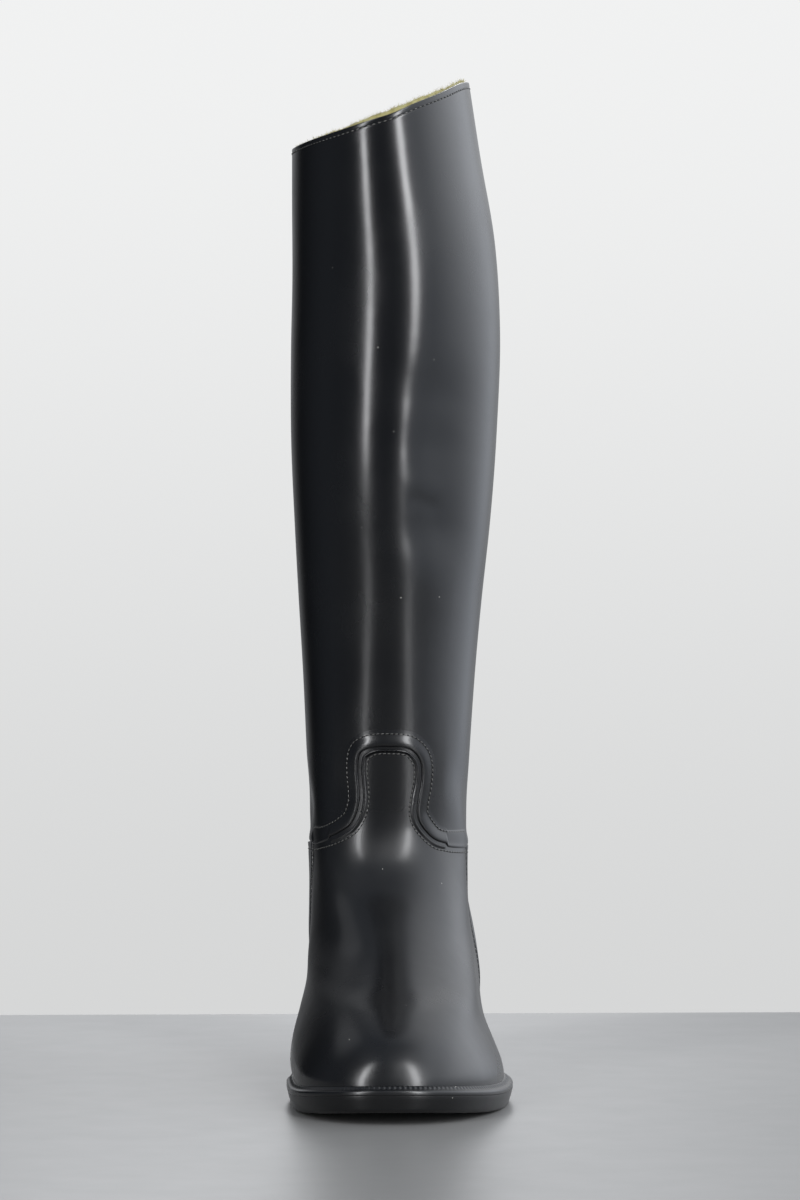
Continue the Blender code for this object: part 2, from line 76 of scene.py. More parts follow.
SECTIONS = {
    "feather": (3.5, 14.0, 278.3, 26.1, 0, -5.0, -0.4, 2.5, 1.0,
                47.2, 30.5, 32.0, 0.33, 0.17, 2.35, 2.30, 1.00),
    "toe_wall": (4.6, 21.2, 280.3, 38.0, 0, -5.0, -2.0, 1.0, 1.0,
                 47.1, 36.0, 34.4, 0.33, 0.18, 2.35, 2.25, 0.85),
    "toe_shoulder": (8.2, 28.3, 280.6, 48.5, 0, -4.8, -3.5, 0.9, 0.8,
                     44.4, 38.0, 35.4, 0.34, 0.20, 2.30, 2.20, 0.60),
    "toe_top": (16.3, 36.2, 278.8, 58.5, 0, -4.4, -4.3, 0.4, 0.5,
                40.5, 38.9, 35.6, 0.35, 0.22, 2.25, 2.15, 0.35),
    "vamp_low": (31.9, 44.6, 275.6, 67.8, 0, -3.9, -3.2, -0.2, 0.2,
                 38.6, 38.6, 35.4, 0.37, 0.25, 2.20, 2.10, 0.16),
    "vamp_mid": (54.5, 53.8, 271.4, 77.0, 0, -3.3, -2.9, -1.0, 0.0,
                 38.1, 37.8, 34.6, 0.40, 0.30, 2.12, 2.06, 0.05),
    "vamp_high": (78.5, 65.8, 266.4, 87.0, 0, -2.8, -2.6, -1.9, -0.8,
                  37.2, 36.4, 34.2, 0.43, 0.35, 2.06, 2.03, 0.0),
    "instep_low": (101.5, 79.5, 261.4, 98.5, 0, -4.2, -2.5, -2.9, -1.6,
                   36.6, 35.1, 34.2, 0.44, 0.40, 2.25, 2.01, 0.0),
    "instep": (118.6, 91.8, 257.2, 112.0, 0, -4.6, -2.4, -2.5, -2.2,
               36.2, 35.9, 35.2, 0.46, 0.46, 2.50, 2.0, 0.0),
    "ankle_front": (131.8, 109.0, 254.2, 128.5, 0, -4.4, -2.4, -2.4, -2.4,
                    36.9, 36.8, 36.6, 0.48, 0.50, 2.50, 2.0, 0.0),
    "ankle": shaft_row(133.4, 133.0, 252.8, 150.0, 0, -2.55, 37.9, 2.35),
    "shin_low": shaft_row(131.5, 187.0, 253.4, 184.0, 0, -2.0, 40.3, 2.12),
    "shin_mid": shaft_row(129.4, 224.0, 255.6, 222.0, 0, -1.35, 42.8),
    "calf_low": shaft_row(126.9, 262.0, 258.4, 261.0, 0.01, -0.2, 45.6),
    "calf": shaft_row(124.9, 301.0, 261.2, 302.0, 0.03, 0.5, 48.1),
    "calf_high": shaft_row(123.6, 341.0, 262.8, 345.0, 0.08, 1.2, 49.3),
    "knee_low": shaft_row(123.2, 379.0, 263.2, 387.0, 0.16, 0.3, 47.9),
    "knee": shaft_row(123.4, 414.0, 262.8, 425.5, 0.26, -3.2, 44.6),
    "collar": shaft_row(123.8, 443.6, 262.2, 459.0, 0.385, -6.0, 41.8),
}
LAST = np.array(list(SECTIONS.values()), float)
COLLAR = len(LAST) - 1.0
print("sections of the last:", len(LAST))

# %% [markdown]
# ## The sole in side view
# The sole has a toe spring, a flat tread under the ball, an arch and a heel seat. Its side view is a
# row of stations. A curve that never overshoots joins them, so the flat tread stays flat.

# %% The sole's line
SOLE_LINE = np.array([
    # along, underside height, thickness
    (0.0, 6.2, 7.6), (20.0, 3.3, 7.8), (42.0, 1.0, 7.8), (62.0, 0.0, 7.8), (118.0, 0.0, 7.8),
    (142.0, 3.0, 7.4), (166.0, 8.6, 6.8), (188.0, 14.0, 6.4), (207.0, 17.4, 6.4), (240.0, 19.2, 6.4),
    (BOOT_LENGTH, 19.6, 6.4),
])
BALL_ALONG = 85.0


def steady_curve(places, values, place):
    """Smooth curve that keeps level stretches level and never overshoots."""
    slopes = np.diff(values) / np.diff(places)
    before, after = slopes[:-1], slopes[1:]
    rising = before * after > 0
    inner = np.where(rising, 2 * before * after / np.where(rising, before + after, 1.0), 0.0)
    tangents = np.concatenate([slopes[:1], inner, slopes[-1:]])
    index = np.clip(np.searchsorted(places, place, side="right") - 1, 0, len(places) - 2)
    span = places[index + 1] - places[index]
    t = (place - places[index]) / span
    return (values[index] * (2 * t**3 - 3 * t**2 + 1) + tangents[index] * span * (t**3 - 2 * t**2 + t)
            + values[index + 1] * (3 * t**2 - 2 * t**3) + tangents[index + 1] * span * (t**3 - t**2))


def sole_bottom(along):
    return steady_curve(SOLE_LINE[:, 0], SOLE_LINE[:, 1], np.clip(along, 0.0, BOOT_LENGTH))


def sole_top(along):
    thickness = steady_curve(SOLE_LINE[:, 0], SOLE_LINE[:, 2], np.clip(along, 0.0, BOOT_LENGTH))
    return sole_bottom(along) + thickness


print("sole thickness at the ball:", round(float(sole_top(BALL_ALONG) - sole_bottom(BALL_ALONG)), 2), "mm")

# %% [markdown]
# ## A point on the last
# One function turns a ring number and a share around that ring into a point of the outside: 0 is the
# shin, 0.25 the outer side, 0.5 the back, 0.75 the inner side. It works on whole arrays at once, so a
# grid of seventy thousand points takes a moment.

# %% Points and directions on the last
GAP = 0.3
BALL_SHARE, MID_SHARE, HEEL_SHARE = 0.30, 0.60, 0.85
RING_STEP, TURN_STEP = 0.02, 0.0015
HALVINGS = 30
RIM_SWELLS = [  # share around, reach, rise: how the cut rim wanders off its plane
    (0.84, 0.10, 1.45), (0.175, 0.05, 1.1), (0.012, 0.03, -0.7), (0.50, 0.10, 1.4),
]


def mix(a, b, share):
    return a + (b - a) * share


def ease(low, high, value):
    """0 below low, 1 above high, smooth between."""
    t = np.clip((value - low) / (high - low), 0.0, 1.0)
    return t * t * (3.0 - 2.0 * t)


def bell(distance, reach):
    """1 at no distance, falling softly to nothing at about twice the reach."""
    return np.exp(-(distance / reach) ** 2)


def half_turns(around):
    """A share around, counted from -0.5 to 0.5 with the shin at 0."""
    return np.mod(around + 0.5, 1.0) - 0.5


def curve_through(near, t):
    """A smooth curve through four neighbours, at t between the middle two."""
    p0, p1, p2, p3 = near
    return 0.5 * (2 * p1 + (p2 - p0) * t + (2 * p0 - 5 * p1 + 4 * p2 - p3) * t**2
                  + (3 * p1 - p0 - 3 * p2 + p3) * t**3)


def section_at(ring):
    """Every column of the table at fractional ring numbers, on a smooth curve through the rows."""
    rows = np.vstack([2 * LAST[0] - LAST[1], LAST, 2 * LAST[-1] - LAST[-2]])
    index = np.clip(ring.astype(int), 0, len(LAST) - 2)
    values = curve_through([rows[index + step] for step in range(4)], (ring - index)[:, None])
    return dict(zip(COLUMNS, values.T))


def station(section, kind, share):
    ball, middle, heel = (section[f"{kind}_{name}"] for name in ("ball", "mid", "heel"))
    rear = mix(middle, heel, ease(MID_SHARE, HEEL_SHARE, share))
    return mix(ball, rear, ease(BALL_SHARE, MID_SHARE, share))


def rounded_end(distance, length, power):
    """Superellipse end: 0 at the tip, 1 where the straight side begins."""
    return (1.0 - np.clip(1.0 - distance / length, 0.0, 1.0) ** power) ** (1.0 / power)


def ring_flat(section, around):
    """Side, along and share of points on a section."""
    turn = 2.0 * np.pi * around
    share = (1.0 - np.cos(turn)) / 2.0
    half = station(section, "half", share)
    half = half * rounded_end(share, section["front_round"], section["front_power"])
    half = half * rounded_end(1.0 - share, section["back_round"], section["back_power"])
    middle = mix(section["side_front"], station(section, "side", share), ease(0.0, BALL_SHARE, share))
    side = middle + np.where(np.sin(turn) >= 0, half, -half)
    return side, mix(section["front_along"], section["back_along"], share), share


def rim_rise(around):
    """How far the cut rim swells up, by share around."""
    return sum(rise * bell(half_turns(around - middle), reach) for middle, reach, rise in RIM_SWELLS)


def last_point(ring, around):
    ring, around = np.broadcast_arrays(np.asarray(ring, float), np.asarray(around, float))
    section = section_at(np.clip(ring, 0.0, COLLAR))
    side, along, share = ring_flat(section, around)
    feather_height = mix(LAST[0][1], LAST[0][3], share)
    sole_dip = sole_top(along) + GAP - feather_height
    middle = mix(section["side_front"], section["side_heel"], share)
    height = mix(section["front_height"], section["back_height"], share)
    height = height + section["sole_follow"] * sole_dip + section["lean"] * (side - middle)
    height = height + rim_rise(around) * ease(COLLAR - 1.0, COLLAR, ring)
    return np.stack([side, along, height], axis=-1)


def unit(vectors):
    return vectors / np.linalg.norm(vectors, axis=-1, keepdims=True)


def directions(ring, around):
    """How the last runs per ring number and per turn, and its outward normal."""
    low, high = np.clip(ring - RING_STEP, 0.0, COLLAR), np.clip(ring + RING_STEP, 0.0, COLLAR)
    up = (last_point(high, around) - last_point(low, around)) / (high - low)[:, None]
    about = last_point(ring, around + TURN_STEP) - last_point(ring, around - TURN_STEP)
    about = about / (2.0 * TURN_STEP)
    return up, about, unit(np.cross(about, up))


def halved(low, high, too_low):
    """Where too_low turns false between two arrays, found by halving."""
    for _ in range(HALVINGS):
        middle = (low + high) / 2
        below = too_low(middle)
        low, high = np.where(below, middle, low), np.where(below, high, middle)
    return (low + high) / 2


def ring_at_height(around, height):
    """Ring number that passes a height."""
    return halved(np.zeros_like(around), np.full_like(around, COLLAR),
                  lambda ring: last_point(ring, around)[:, 2] < height)


print("toe tip and heel:", last_point(np.array([1.0, 1.0]), np.array([0.0, 0.5])).round(1).tolist())

# %% [markdown]
# ## Creases placed one by one
# Rubber that has been worn and stood in a cupboard keeps soft dents. A noise texture would spread them
# evenly, which no boot does, so each trough or ridge is a line between two places on the skin, with a
# reach and a depth. A positive depth is a trough. The skin function adds them all, and every piece that
# lies on the skin asks that function, so hem and stitches follow the dents too.

# %% The creases and the skin
Crease = namedtuple("Crease", "start end reach depth")
CREASES = {
    # places are (share around, height)
    "hollow beside the shin": Crease((0.064, 312.0), (0.060, 258.0), 18.0, 2.1),
    "upper part of the hollow": Crease((0.070, 334.0), (0.065, 300.0), 24.0, 0.8),
    "lower part of the hollow": Crease((0.060, 290.0), (0.056, 262.0), 14.0, 0.9),
    "nick under the hollow": Crease((0.030, 268.0), (0.060, 265.0), 4.0, 0.2),
    "roll over the nick": Crease((0.030, 277.0), (0.062, 274.0), 5.0, -0.15),
    "bend over the instep": Crease((-0.050, 122.0), (0.060, 121.0), 25.0, 1.4),
    "swell of the shin": Crease((-0.080, 270.0), (0.028, 270.0), 60.0, -2.5),
    "inner ankle dimple": Crease((0.760, 135.0), (0.790, 127.0), 9.0, 1.2),
    "outer ankle hollow": Crease((0.150, 140.0), (0.200, 128.0), 11.0, 0.8),
}


def distance_to_line(points, start, end):
    run = end - start
    share = np.clip((points - start) @ run / (run @ run), 0.0, 1.0)
    return np.linalg.norm(points - start - share[:, None] * run, axis=1)


def place_on_last(around, height):
    around = np.array([around])
    return last_point(ring_at_height(around, np.array([height])), around)[0]


crease_lines = [(place_on_last(*c.start), place_on_last(*c.end), c) for c in CREASES.values()]


def skin(ring, around, rise=0.0):
    """Points of the creased outside, raised off it by rise."""
    ring, around = np.broadcast_arrays(np.asarray(ring, float), np.asarray(around, float))
    points = last_point(ring, around)
    out = directions(ring, around)[2]
    for start, end, crease in crease_lines:
        rise = rise - crease.depth * bell(distance_to_line(points, start, end), crease.reach)
    return points + out * np.broadcast_to(rise, ring.shape)[:, None]


def in_frame(points):
    """Millimetres on the last to metres in the frame."""
    return (points + np.array([SIDE_SHIFT, -BOOT_LENGTH / 2.0, 0.0])) * MM


print("creases:", len(CREASES))

# %% [markdown]
# ## Wrapping a grid
# Most pieces of a shoe are cut flat and pulled over the last. The same idea makes their meshes here: a
# flat grid from Blender, with its UV map, is pulled onto the skin by moving its vertices. Merging the
# doubles closes the seam at the shin. A Shrinkwrap modifier could do this too, but it finds only the
# nearest point, and a named place on the skin is exact.

# %% Grid helpers
MERGE = 1e-6


def grid_row(share, rows):
    """Number of the row, or column, that a share of the grid's side falls on."""
    return np.rint(share * (len(rows) - 1)).astype(int)


def end_fade(u, reach):
    """1 along a strip, falling softly to 0 at both its ends."""
    return ease(0.0, reach, u) * ease(0.0, reach, 1.0 - u)


def wrapped_grid(columns, rows, place):
    """A flat grid with UVs, whose vertices move to where place says. Seams that meet are closed."""
    sheet = bmesh.new()
    sheet.loops.layers.uv.new("UVMap")
    bmesh.ops.create_grid(sheet, x_segments=columns, y_segments=rows, size=0.5,
                          matrix=Matrix.Translation((0.5, 0.5, 0.0)), calc_uvs=True)
    flat = np.array([vert.co[:2] for vert in sheet.verts])
    for vert, point in zip(sheet.verts, in_frame(place(flat[:, 0], flat[:, 1]))):
        vert.co = point
    bmesh.ops.remove_doubles(sheet, verts=sheet.verts, dist=MERGE)
    return sheet


def close_ends(sheet):
    """Caps whatever is still open, and turns all faces outwards."""
    open_edges = [edge for edge in sheet.edges if edge.is_boundary]
    if open_edges:
        bmesh.ops.holes_fill(sheet, edges=open_edges, sides=0)
    bmesh.ops.recalc_face_normals(sheet, faces=sheet.faces)
    return sheet


def new_mesh(name, sheet):
    """Turns a bmesh into a mesh."""
    mesh = bpy.data.meshes.new(name)
    sheet.to_mesh(mesh)
    sheet.free()
    return mesh


def new_object(name, content):
    """Puts a mesh or a camera into the scene."""
    made = bpy.data.objects.new(name, content)
    bpy.context.scene.collection.objects.link(made)
    return made


def make_piece(sheet, name, replaced=None, sharp_above=None):
    """Turns a bmesh into a piece that rides on the boot's one body."""
    mesh = new_mesh(name, sheet)
    mesh.shade_smooth()
    if sharp_above:
        mesh.set_sharp_from_angle(angle=math.radians(sharp_above))
    piece = new_object(name, mesh)
    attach(piece, "root")
    if replaced:
        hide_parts(replaced)
    triangles = sum(len(face.vertices) - 2 for face in mesh.polygons)
    print(f"{name}: {triangles} triangles")
    return piece


def evenly(points, count):
    """Shares along a row of points that cut it into equal lengths, and its whole length."""
    run = np.concatenate([[0.0], np.cumsum(np.linalg.norm(np.diff(points, axis=0), axis=1))])
    return np.interp(np.linspace(0.0, run[-1], count), run, np.linspace(0.0, 1.0, len(points))), run[-1]


print("grid helpers ready")

# %% [markdown]
# ## The upper
# Foot and shaft are one rubber wall. Its grid runs up the outside, over the cut rim and down the inside,
# so the wall has its real thickness. The rows lie two millimetres apart, and closer below the rim, where
# a fine groove takes the collar stitching. The last step bridges the outer and inner edge at the sole.

# %% The rubber upper
ROW_SPACING = 2.0
UPPER_COLUMNS = 200
INNER_ROWS, INNER_DROP = 70, 2.0
CLOSE_FROM, CLOSE_TO, CLOSE_STEP = 6.0, 0.7, 0.3
STITCH_DROP = 2.7
STITCH_GROOVE = 0.10
GROOVE_REACH = 0.45
RIM_ROUNDING = [  # depth into the wall, drop below the rim
    (0.0, 0.55), (0.06, 0.28), (0.22, 0.08), (0.5, 0.0),
    (2.0, 0.0), (2.28, 0.08), (2.44, 0.28), (2.5, 0.55),
]
RIM_STEP = 0.1
quarters = np.arange(4) / 4.0
rim_run = last_point(np.full(4, COLLAR), quarters) - last_point(np.full(4, COLLAR - RIM_STEP), quarters)
MM_PER_RING_AT_RIM = float(np.linalg.norm(rim_run, axis=1).mean() / RIM_STEP)


def ring_below_rim(drop):
    return COLLAR - np.asarray(drop) / MM_PER_RING_AT_RIM


def wall_rows():
    """Ring number and depth of each row of the upper's grid: up outside, over the rim, down inside."""
    rings = []
    for index in range(len(LAST) - 1):
        ends = last_point(np.array([index, index, index + 1, index + 1]), np.array([0.0, 0.5, 0.0, 0.5]))
        span = np.linalg.norm(ends[2:] - ends[:2], axis=1).max()
        count = max(3, round(span / ROW_SPACING))
        rings += [index + step / count for step in range(count)]
    close_rows = ring_below_rim(np.arange(CLOSE_FROM, CLOSE_TO, -CLOSE_STEP))
    outer = [(ring, 0.0) for ring in rings if ring < close_rows[0]] + [(ring, 0.0) for ring in close_rows]
    rim = [(ring_below_rim(drop), depth) for depth, drop in RIM_ROUNDING]
    inner = [(ring, WALL) for ring in np.linspace(ring_below_rim(INNER_DROP), 0.0, INNER_ROWS)]
    return np.array(outer + rim + inner)


rows_of_wall = wall_rows()


def place_on_wall(u, v):
    ring, depth = rows_of_wall[grid_row(v, rows_of_wall)].T
    drop = (COLLAR - ring) * MM_PER_RING_AT_RIM
    groove = np.where(depth == 0.0, STITCH_GROOVE * bell(drop - STITCH_DROP, GROOVE_REACH), 0.0)
    return skin(ring, u, -depth - groove)


wall = wrapped_grid(UPPER_COLUMNS, len(rows_of_wall) - 1, place_on_wall)
bmesh.ops.bridge_loops(wall, edges=[edge for edge in wall.edges if edge.is_boundary])
bmesh.ops.recalc_face_normals(wall, faces=wall.faces)
upper = make_piece(wall, "upper_rubber", "upper")

# %% [markdown]
# ## The cotton lining
# A yellow cotton lining covers the inside. Its cut edge stands a little above the rubber rim and frays.
# It is one sheet, pulled down the inside a hair away from the rubber and turned over its own edge at the
# top. A cloth simulation would change nothing here, because the lining is glued to the wall all over.

# %% The lining
LINING_THICKNESS = 0.7
LINING_CLEARANCE = 0.05
LINING_COLUMNS, LINING_ROWS = 120, 80
TURNED_DROP, LINING_FOOT_RING = 3.0, 0.25
RAW_EDGE_WAVES = ((9, 0.22), (23, 0.16), (61, 0.12))
EDGE_STAND, FRONT_STAND, FRONT_REACH = 0.4, 1.6, 0.12
outer_face = WALL + LINING_CLEARANCE
inner_face = outer_face + LINING_THICKNESS
LINING_EDGE = [  # depth into the boot, drop below the rim
    (outer_face, TURNED_DROP), (outer_face, 0.0), (outer_face + 0.12, -0.75), (outer_face + 0.35, -0.9),
    (inner_face - 0.12, -0.75), (inner_face, 0.0),
]


def raw_edge(around):
    """How the cut edge wanders up and down."""
    return sum(size * np.sin(2 * np.pi * waves * around + waves) for waves, size in RAW_EDGE_WAVES)


def edge_stand(around):
    """How many times higher the raw edge stands: pushed up in front, where the foot goes in and out."""
    return EDGE_STAND + FRONT_STAND * bell(half_turns(around), FRONT_REACH)


def place_on_lining(u, v):
    edge_depths, edge_drops = np.array(LINING_EDGE).T
    below_edge = np.linspace(ring_below_rim(TURNED_DROP), LINING_FOOT_RING, LINING_ROWS)
    rings = np.concatenate([ring_below_rim(edge_drops), below_edge])
    depths = np.concatenate([edge_depths, np.full(LINING_ROWS, inner_face)])
    above_rim = np.concatenate([np.maximum(0.0, -edge_drops), np.zeros(LINING_ROWS)])
    row = grid_row(v, rings)
    points = skin(np.minimum(rings[row], COLLAR), u, -depths[row])
    points[:, 2] += above_rim[row] * (edge_stand(u) + raw_edge(u))
    return points


lining_sheet = wrapped_grid(LINING_COLUMNS, len(LINING_EDGE) + LINING_ROWS - 1, place_on_lining)
lining = make_piece(lining_sheet, "lining_cloth")

# %% [markdown]
# ## The seam between shaft and foot
# The shaft ends in a line that climbs over the tongue, swings out to the sides and runs level round the
# heel. It is a closed row of given points, and a smooth curve joins them. Pieces beside it ask for
# points a few millimetres towards the shaft or towards the tongue.

# %% The seam's line
SEAM = np.array([
    # share around, height
    (0.000, 155.5), (0.014, 155.2), (0.028, 153.9), (0.041, 150.4), (0.047, 145.5), (0.046, 138.5),
    (0.041, 131.2), (0.040, 124.0), (0.052, 118.3), (0.076, 113.2), (0.103, 110.9), (0.138, 109.5),
    (0.200, 108.3), (0.320, 106.8), (0.500, 106.4), (0.680, 107.6), (0.775, 109.6), (0.815, 110.4),
    (0.855, 111.7), (0.897, 114.4), (0.918, 116.5), (0.939, 120.3), (0.949, 128.0), (0.949, 135.0),
    (0.945, 144.5), (0.948, 151.6), (0.962, 154.5), (0.982, 155.5),
])
SEAM_STEP = 0.002
SEAM_POINTS, SEARCH_POINTS = 900, 2000


def seam_place(share):
    """Share around and ring number of the seam; share runs 0 at the shin, round the outer side, to 1."""
    place = np.mod(share, 1.0) * len(SEAM)
    first = place.astype(int)
    near = []
    for step in (-1, 0, 1, 2):
        lap, index = np.divmod(first + step, len(SEAM))
        near.append(SEAM[index] + np.stack([lap, np.zeros_like(lap)], axis=1))
    curve = curve_through(near, (place - first)[:, None])
    around = np.mod(curve[:, 0], 1.0)
    return around, ring_at_height(around, curve[:, 1])


def beside_seam(share, away):
    """Ring and share around of points at a distance from the seam, positive towards the shaft."""
    around, ring = seam_place(share)
    ahead, behind = seam_place(share + SEAM_STEP), seam_place(share - SEAM_STEP)
    step_around = half_turns(ahead[0] - behind[0])
    up, about, out = directions(ring, around)
    tangent = about * step_around[:, None] + up * (ahead[1] - behind[1])[:, None]
    to_shaft = unit(np.cross(out, tangent))
    e, f, g = ((x * y).sum(axis=1) for x, y in ((about, about), (about, up), (up, up)))
    a, b = (to_shaft * about).sum(axis=1), (to_shaft * up).sum(axis=1)
    det = e * g - f * f
    return ring + (b * e - a * f) / det * away, around + (a * g - b * f) / det * away


def even_seam(first, last, count):
    """Shares that cut a stretch of the seam into equal lengths."""
    fine = np.linspace(first, last, SEAM_POINTS)
    around, ring = seam_place(fine)
    shares, length = evenly(last_point(ring, around), count)
    return mix(first, last, shares), length


def seam_share_at(around, first, last):
    """Share of the seam that lies at a share around the boot."""
    fine = np.linspace(first, last, SEARCH_POINTS)
    return float(fine[np.argmin(np.abs(half_turns(seam_place(fine)[0] - around)))])


def seam_ends(around, outer_search, inner_search):
    """Shares of the seam where a row over the tongue starts, on the inner side, and ends."""
    return seam_share_at(1.0 - around, *inner_search) - 1.0, seam_share_at(around, *outer_search)


whole_seam_shares, seam_length = even_seam(0.0, 1.0, SEAM_POINTS)
print("seam length:", round(seam_length), "mm")

# %% [markdown]
# ## The ankle hem and the tongue piping
# The shaft's lower edge is turned into a soft hem, which passes into a flat tab beside the counter. A
# dark groove follows it, and then a thin raised piping along the tongue. Both are strips with a profile,
# swept along the seam. A curve with a bevel would twist on the bends, so the strips stay on the skin at
# every point. A profile starts and ends under the skin, and its last row meets its first, which closes
# the strip.

# %% Hem and piping
SUNK = -0.5
HEM_PROFILE = np.array([  # distance towards the shaft, rise
    (0.15, SUNK), (-0.02, 0.05), (0.0, 0.30), (0.12, 0.56), (0.4, 0.76), (0.9, 0.88), (1.6, 0.90),
    (2.5, 0.82), (3.5, 0.62), (4.4, 0.40), (5.2, 0.22), (5.9, 0.12), (6.6, 0.06), (7.3, 0.02), (8.0, -0.01),
    (8.5, -0.06), (8.6, -0.1), (8.6, SUNK), (0.15, SUNK),
])
TAB_PROFILE = np.array([  # the same rows, where the hem passes into a flat tab beside the counter
    (-1.4, SUNK), (-1.5, 0.0), (-1.4, 0.10), (-1.2, 0.22), (-0.95, 0.36), (-0.6, 0.44), (-0.2, 0.42),
    (0.3, 0.36), (1.0, 0.36), (2.0, 0.40), (3.5, 0.42), (5.0, 0.40), (5.9, 0.34), (6.3, 0.22), (6.6, 0.06),
    (6.9, -0.03), (7.0, -0.1), (7.0, SUNK), (-1.4, SUNK),
])
TAB_ENDS, TAB_BLEND = (0.110, 0.186), 0.003
PIPING_PROFILE = np.array([
    (-4.7, SUNK), (-4.68, -0.1), (-4.4, -0.04), (-4.05, 0.0), (-3.7, 0.10), (-3.35, 0.32), (-3.0, 0.54),
    (-2.7, 0.66), (-2.4, 0.66), (-2.1, 0.52), (-1.85, 0.28), (-1.7, 0.0), (-1.65, SUNK), (-4.7, SUNK),
])
PIPING_WIDTHS = np.array([  # share around, from the inner to the outer side; share of the profile's width
    (-0.20, 0.90), (-0.10, 0.90), (-0.055, 1.0), (-0.02, 0.68), (0.02, 0.66), (0.04, 0.76), (0.20, 0.76),
])
PIPING_END_AROUND = 0.110
PIPING_SEARCH = (0.3, 0.5), (0.5, 0.7)  # shares of the seam, on the outer and on the inner side
PIPING_POINTS, PIPING_FADE, FADED_RISE = 420, 0.02, -0.2


def tab_share(share):
    """1 where the hem is a flat tab, on both sides of the ankle, and 0 elsewhere."""
    from_shin = np.abs(half_turns(seam_place(share)[0]))
    begun = ease(-TAB_BLEND, TAB_BLEND, from_shin - TAB_ENDS[0])
    return begun * ease(-TAB_BLEND, TAB_BLEND, TAB_ENDS[1] - from_shin)


def piping_width(share):
    """The piping is narrower over the tongue's top than down its inner side."""
    places, widths = PIPING_WIDTHS.T
    around = half_turns(seam_place(share)[0])
    return steady_curve(places, widths, np.clip(around, places[0], places[-1]))


def sweep_beside_seam(shares, profile, fade=None, tab_profile=None, width=None):
    """A strip on the skin along a stretch of the seam; fade is the share of it that sinks at each end."""
    def place(u, v):
        share = np.interp(u, np.linspace(0.0, 1.0, len(shares)), shares)
        row = grid_row(v, profile)
        strip = profile[row]
        if tab_profile is not None:
            strip = mix(strip, tab_profile[row], tab_share(share)[:, None])
        away, rise = strip.T
        if fade is not None:
            rise = np.where(rise > SUNK, mix(FADED_RISE, rise, end_fade(u, fade)), rise)
        if width is not None:
            away = away * width(share)
        ring, around = beside_seam(share, away)
        return skin(ring, around, rise)
    return wrapped_grid(len(shares) - 1, len(profile) - 1, place)


hem_strip = sweep_beside_seam(whole_seam_shares, HEM_PROFILE, tab_profile=TAB_PROFILE)
hem = make_piece(close_ends(hem_strip), "ankle_hem_rubber", "ankle_hem")
piping_ends = seam_ends(PIPING_END_AROUND, *PIPING_SEARCH)
piping_shares, piping_length = even_seam(*piping_ends, PIPING_POINTS)
piping_strip = sweep_beside_seam(piping_shares, PIPING_PROFILE, PIPING_FADE, width=piping_width)
piping = make_piece(close_ends(piping_strip), "tongue_piping_rubber", "tongue_piping")
print("piping length:", round(piping_length), "mm")

# %% [markdown]
# ## The heel counter
# A stiffener wraps the heel from one side seam to the other. Its edges stand proud of the upper and are
# stitched. The grid runs up its outside and down its back, which lies hidden in the wall, with rows close
# together at its edges, where the rise rolls down under the skin. There both faces meet and merge.

# %% The counter
COUNTER_FRONT_ALONG = 168.0
COUNTER_PAST_SEAM = 0.1
COUNTER_FOOT_RISE = 1.2
COUNTER_RISE, COUNTER_EDGE_RISE = 1.6, 0.7
COUNTER_SUNK, COUNTER_BACK = -0.35, -0.6
EDGE_ROLL, TOP_ROLL = 0.9, 0.5
EDGE_RUN = 30.0
COUNTER_COLUMNS, COUNTER_ROWS = 150, 56
COLUMN_EDGE, ROW_EDGE, EDGE_CROWDING = 0.012, 0.035, 1.3
COUNTER_LENGTH, COUNTER_HEIGHT = 245.0, 78.0
COUNTER_STITCH_DROP, COUNTER_GROOVE, COUNTER_GROOVE_REACH = 3.0, 0.2, 0.7
SIDE_SEARCH = (0.12, 0.42)


def close_at_edges(count, edge_share, edge_steps=5):
    """Shares from 0 to 1 with extra rows near both ends."""
    edge = edge_share * np.linspace(0.0, 1.0, edge_steps) ** EDGE_CROWDING
    inner = np.linspace(edge_share, 1.0 - edge_share, count - 2 * edge_steps + 3)
    return np.concatenate([edge, inner[1:-1], 1.0 - edge[::-1]])


def side_seam_around(height):
    """Where the counter's front edge lies around the boot, on the outer side."""
    def before_edge(around):
        return last_point(ring_at_height(around, height), around)[:, 1] < COUNTER_FRONT_ALONG
    return halved(*(np.full_like(height, end) for end in SIDE_SEARCH), before_edge)


def counter_top(around):
    """Height of the counter's top edge, tucked a hair under the hem."""
    return np.interp(around, SEAM[:, 0], SEAM[:, 1]) + COUNTER_PAST_SEAM


counter_up = close_at_edges(COUNTER_ROWS, ROW_EDGE)
counter_foot = float(sole_top(COUNTER_FRONT_ALONG)) + GAP + COUNTER_FOOT_RISE
counter_seam = side_seam_around(mix(counter_foot, float(counter_top(0.25)), counter_up))
counter_along = close_at_edges(COUNTER_COLUMNS, COLUMN_EDGE)


def counter_place(share_along, share_up):
    """Ring and share around of a point on the counter."""
    seam = np.interp(share_up, counter_up, counter_seam)
    around = mix(seam, 1.0 - seam, share_along)
    foot = last_point(np.zeros_like(around), around)[:, 2] + COUNTER_FOOT_RISE
    return ring_at_height(around, mix(foot, counter_top(around), share_up)), around


def rolled(distance):
    """Rise of an edge that rolls down to nothing."""
    return np.sqrt(1.0 - (1.0 - np.clip(distance / EDGE_ROLL, 0.0, 1.0)) ** 2)


def counter_rise(to_end):
    """How proud the counter stands, by its distance in millimetres from a side seam."""
    return mix(COUNTER_EDGE_RISE, COUNTER_RISE, ease(0.0, EDGE_RUN, to_end))


up_and_back = np.concatenate([counter_up, counter_up[-2::-1]])


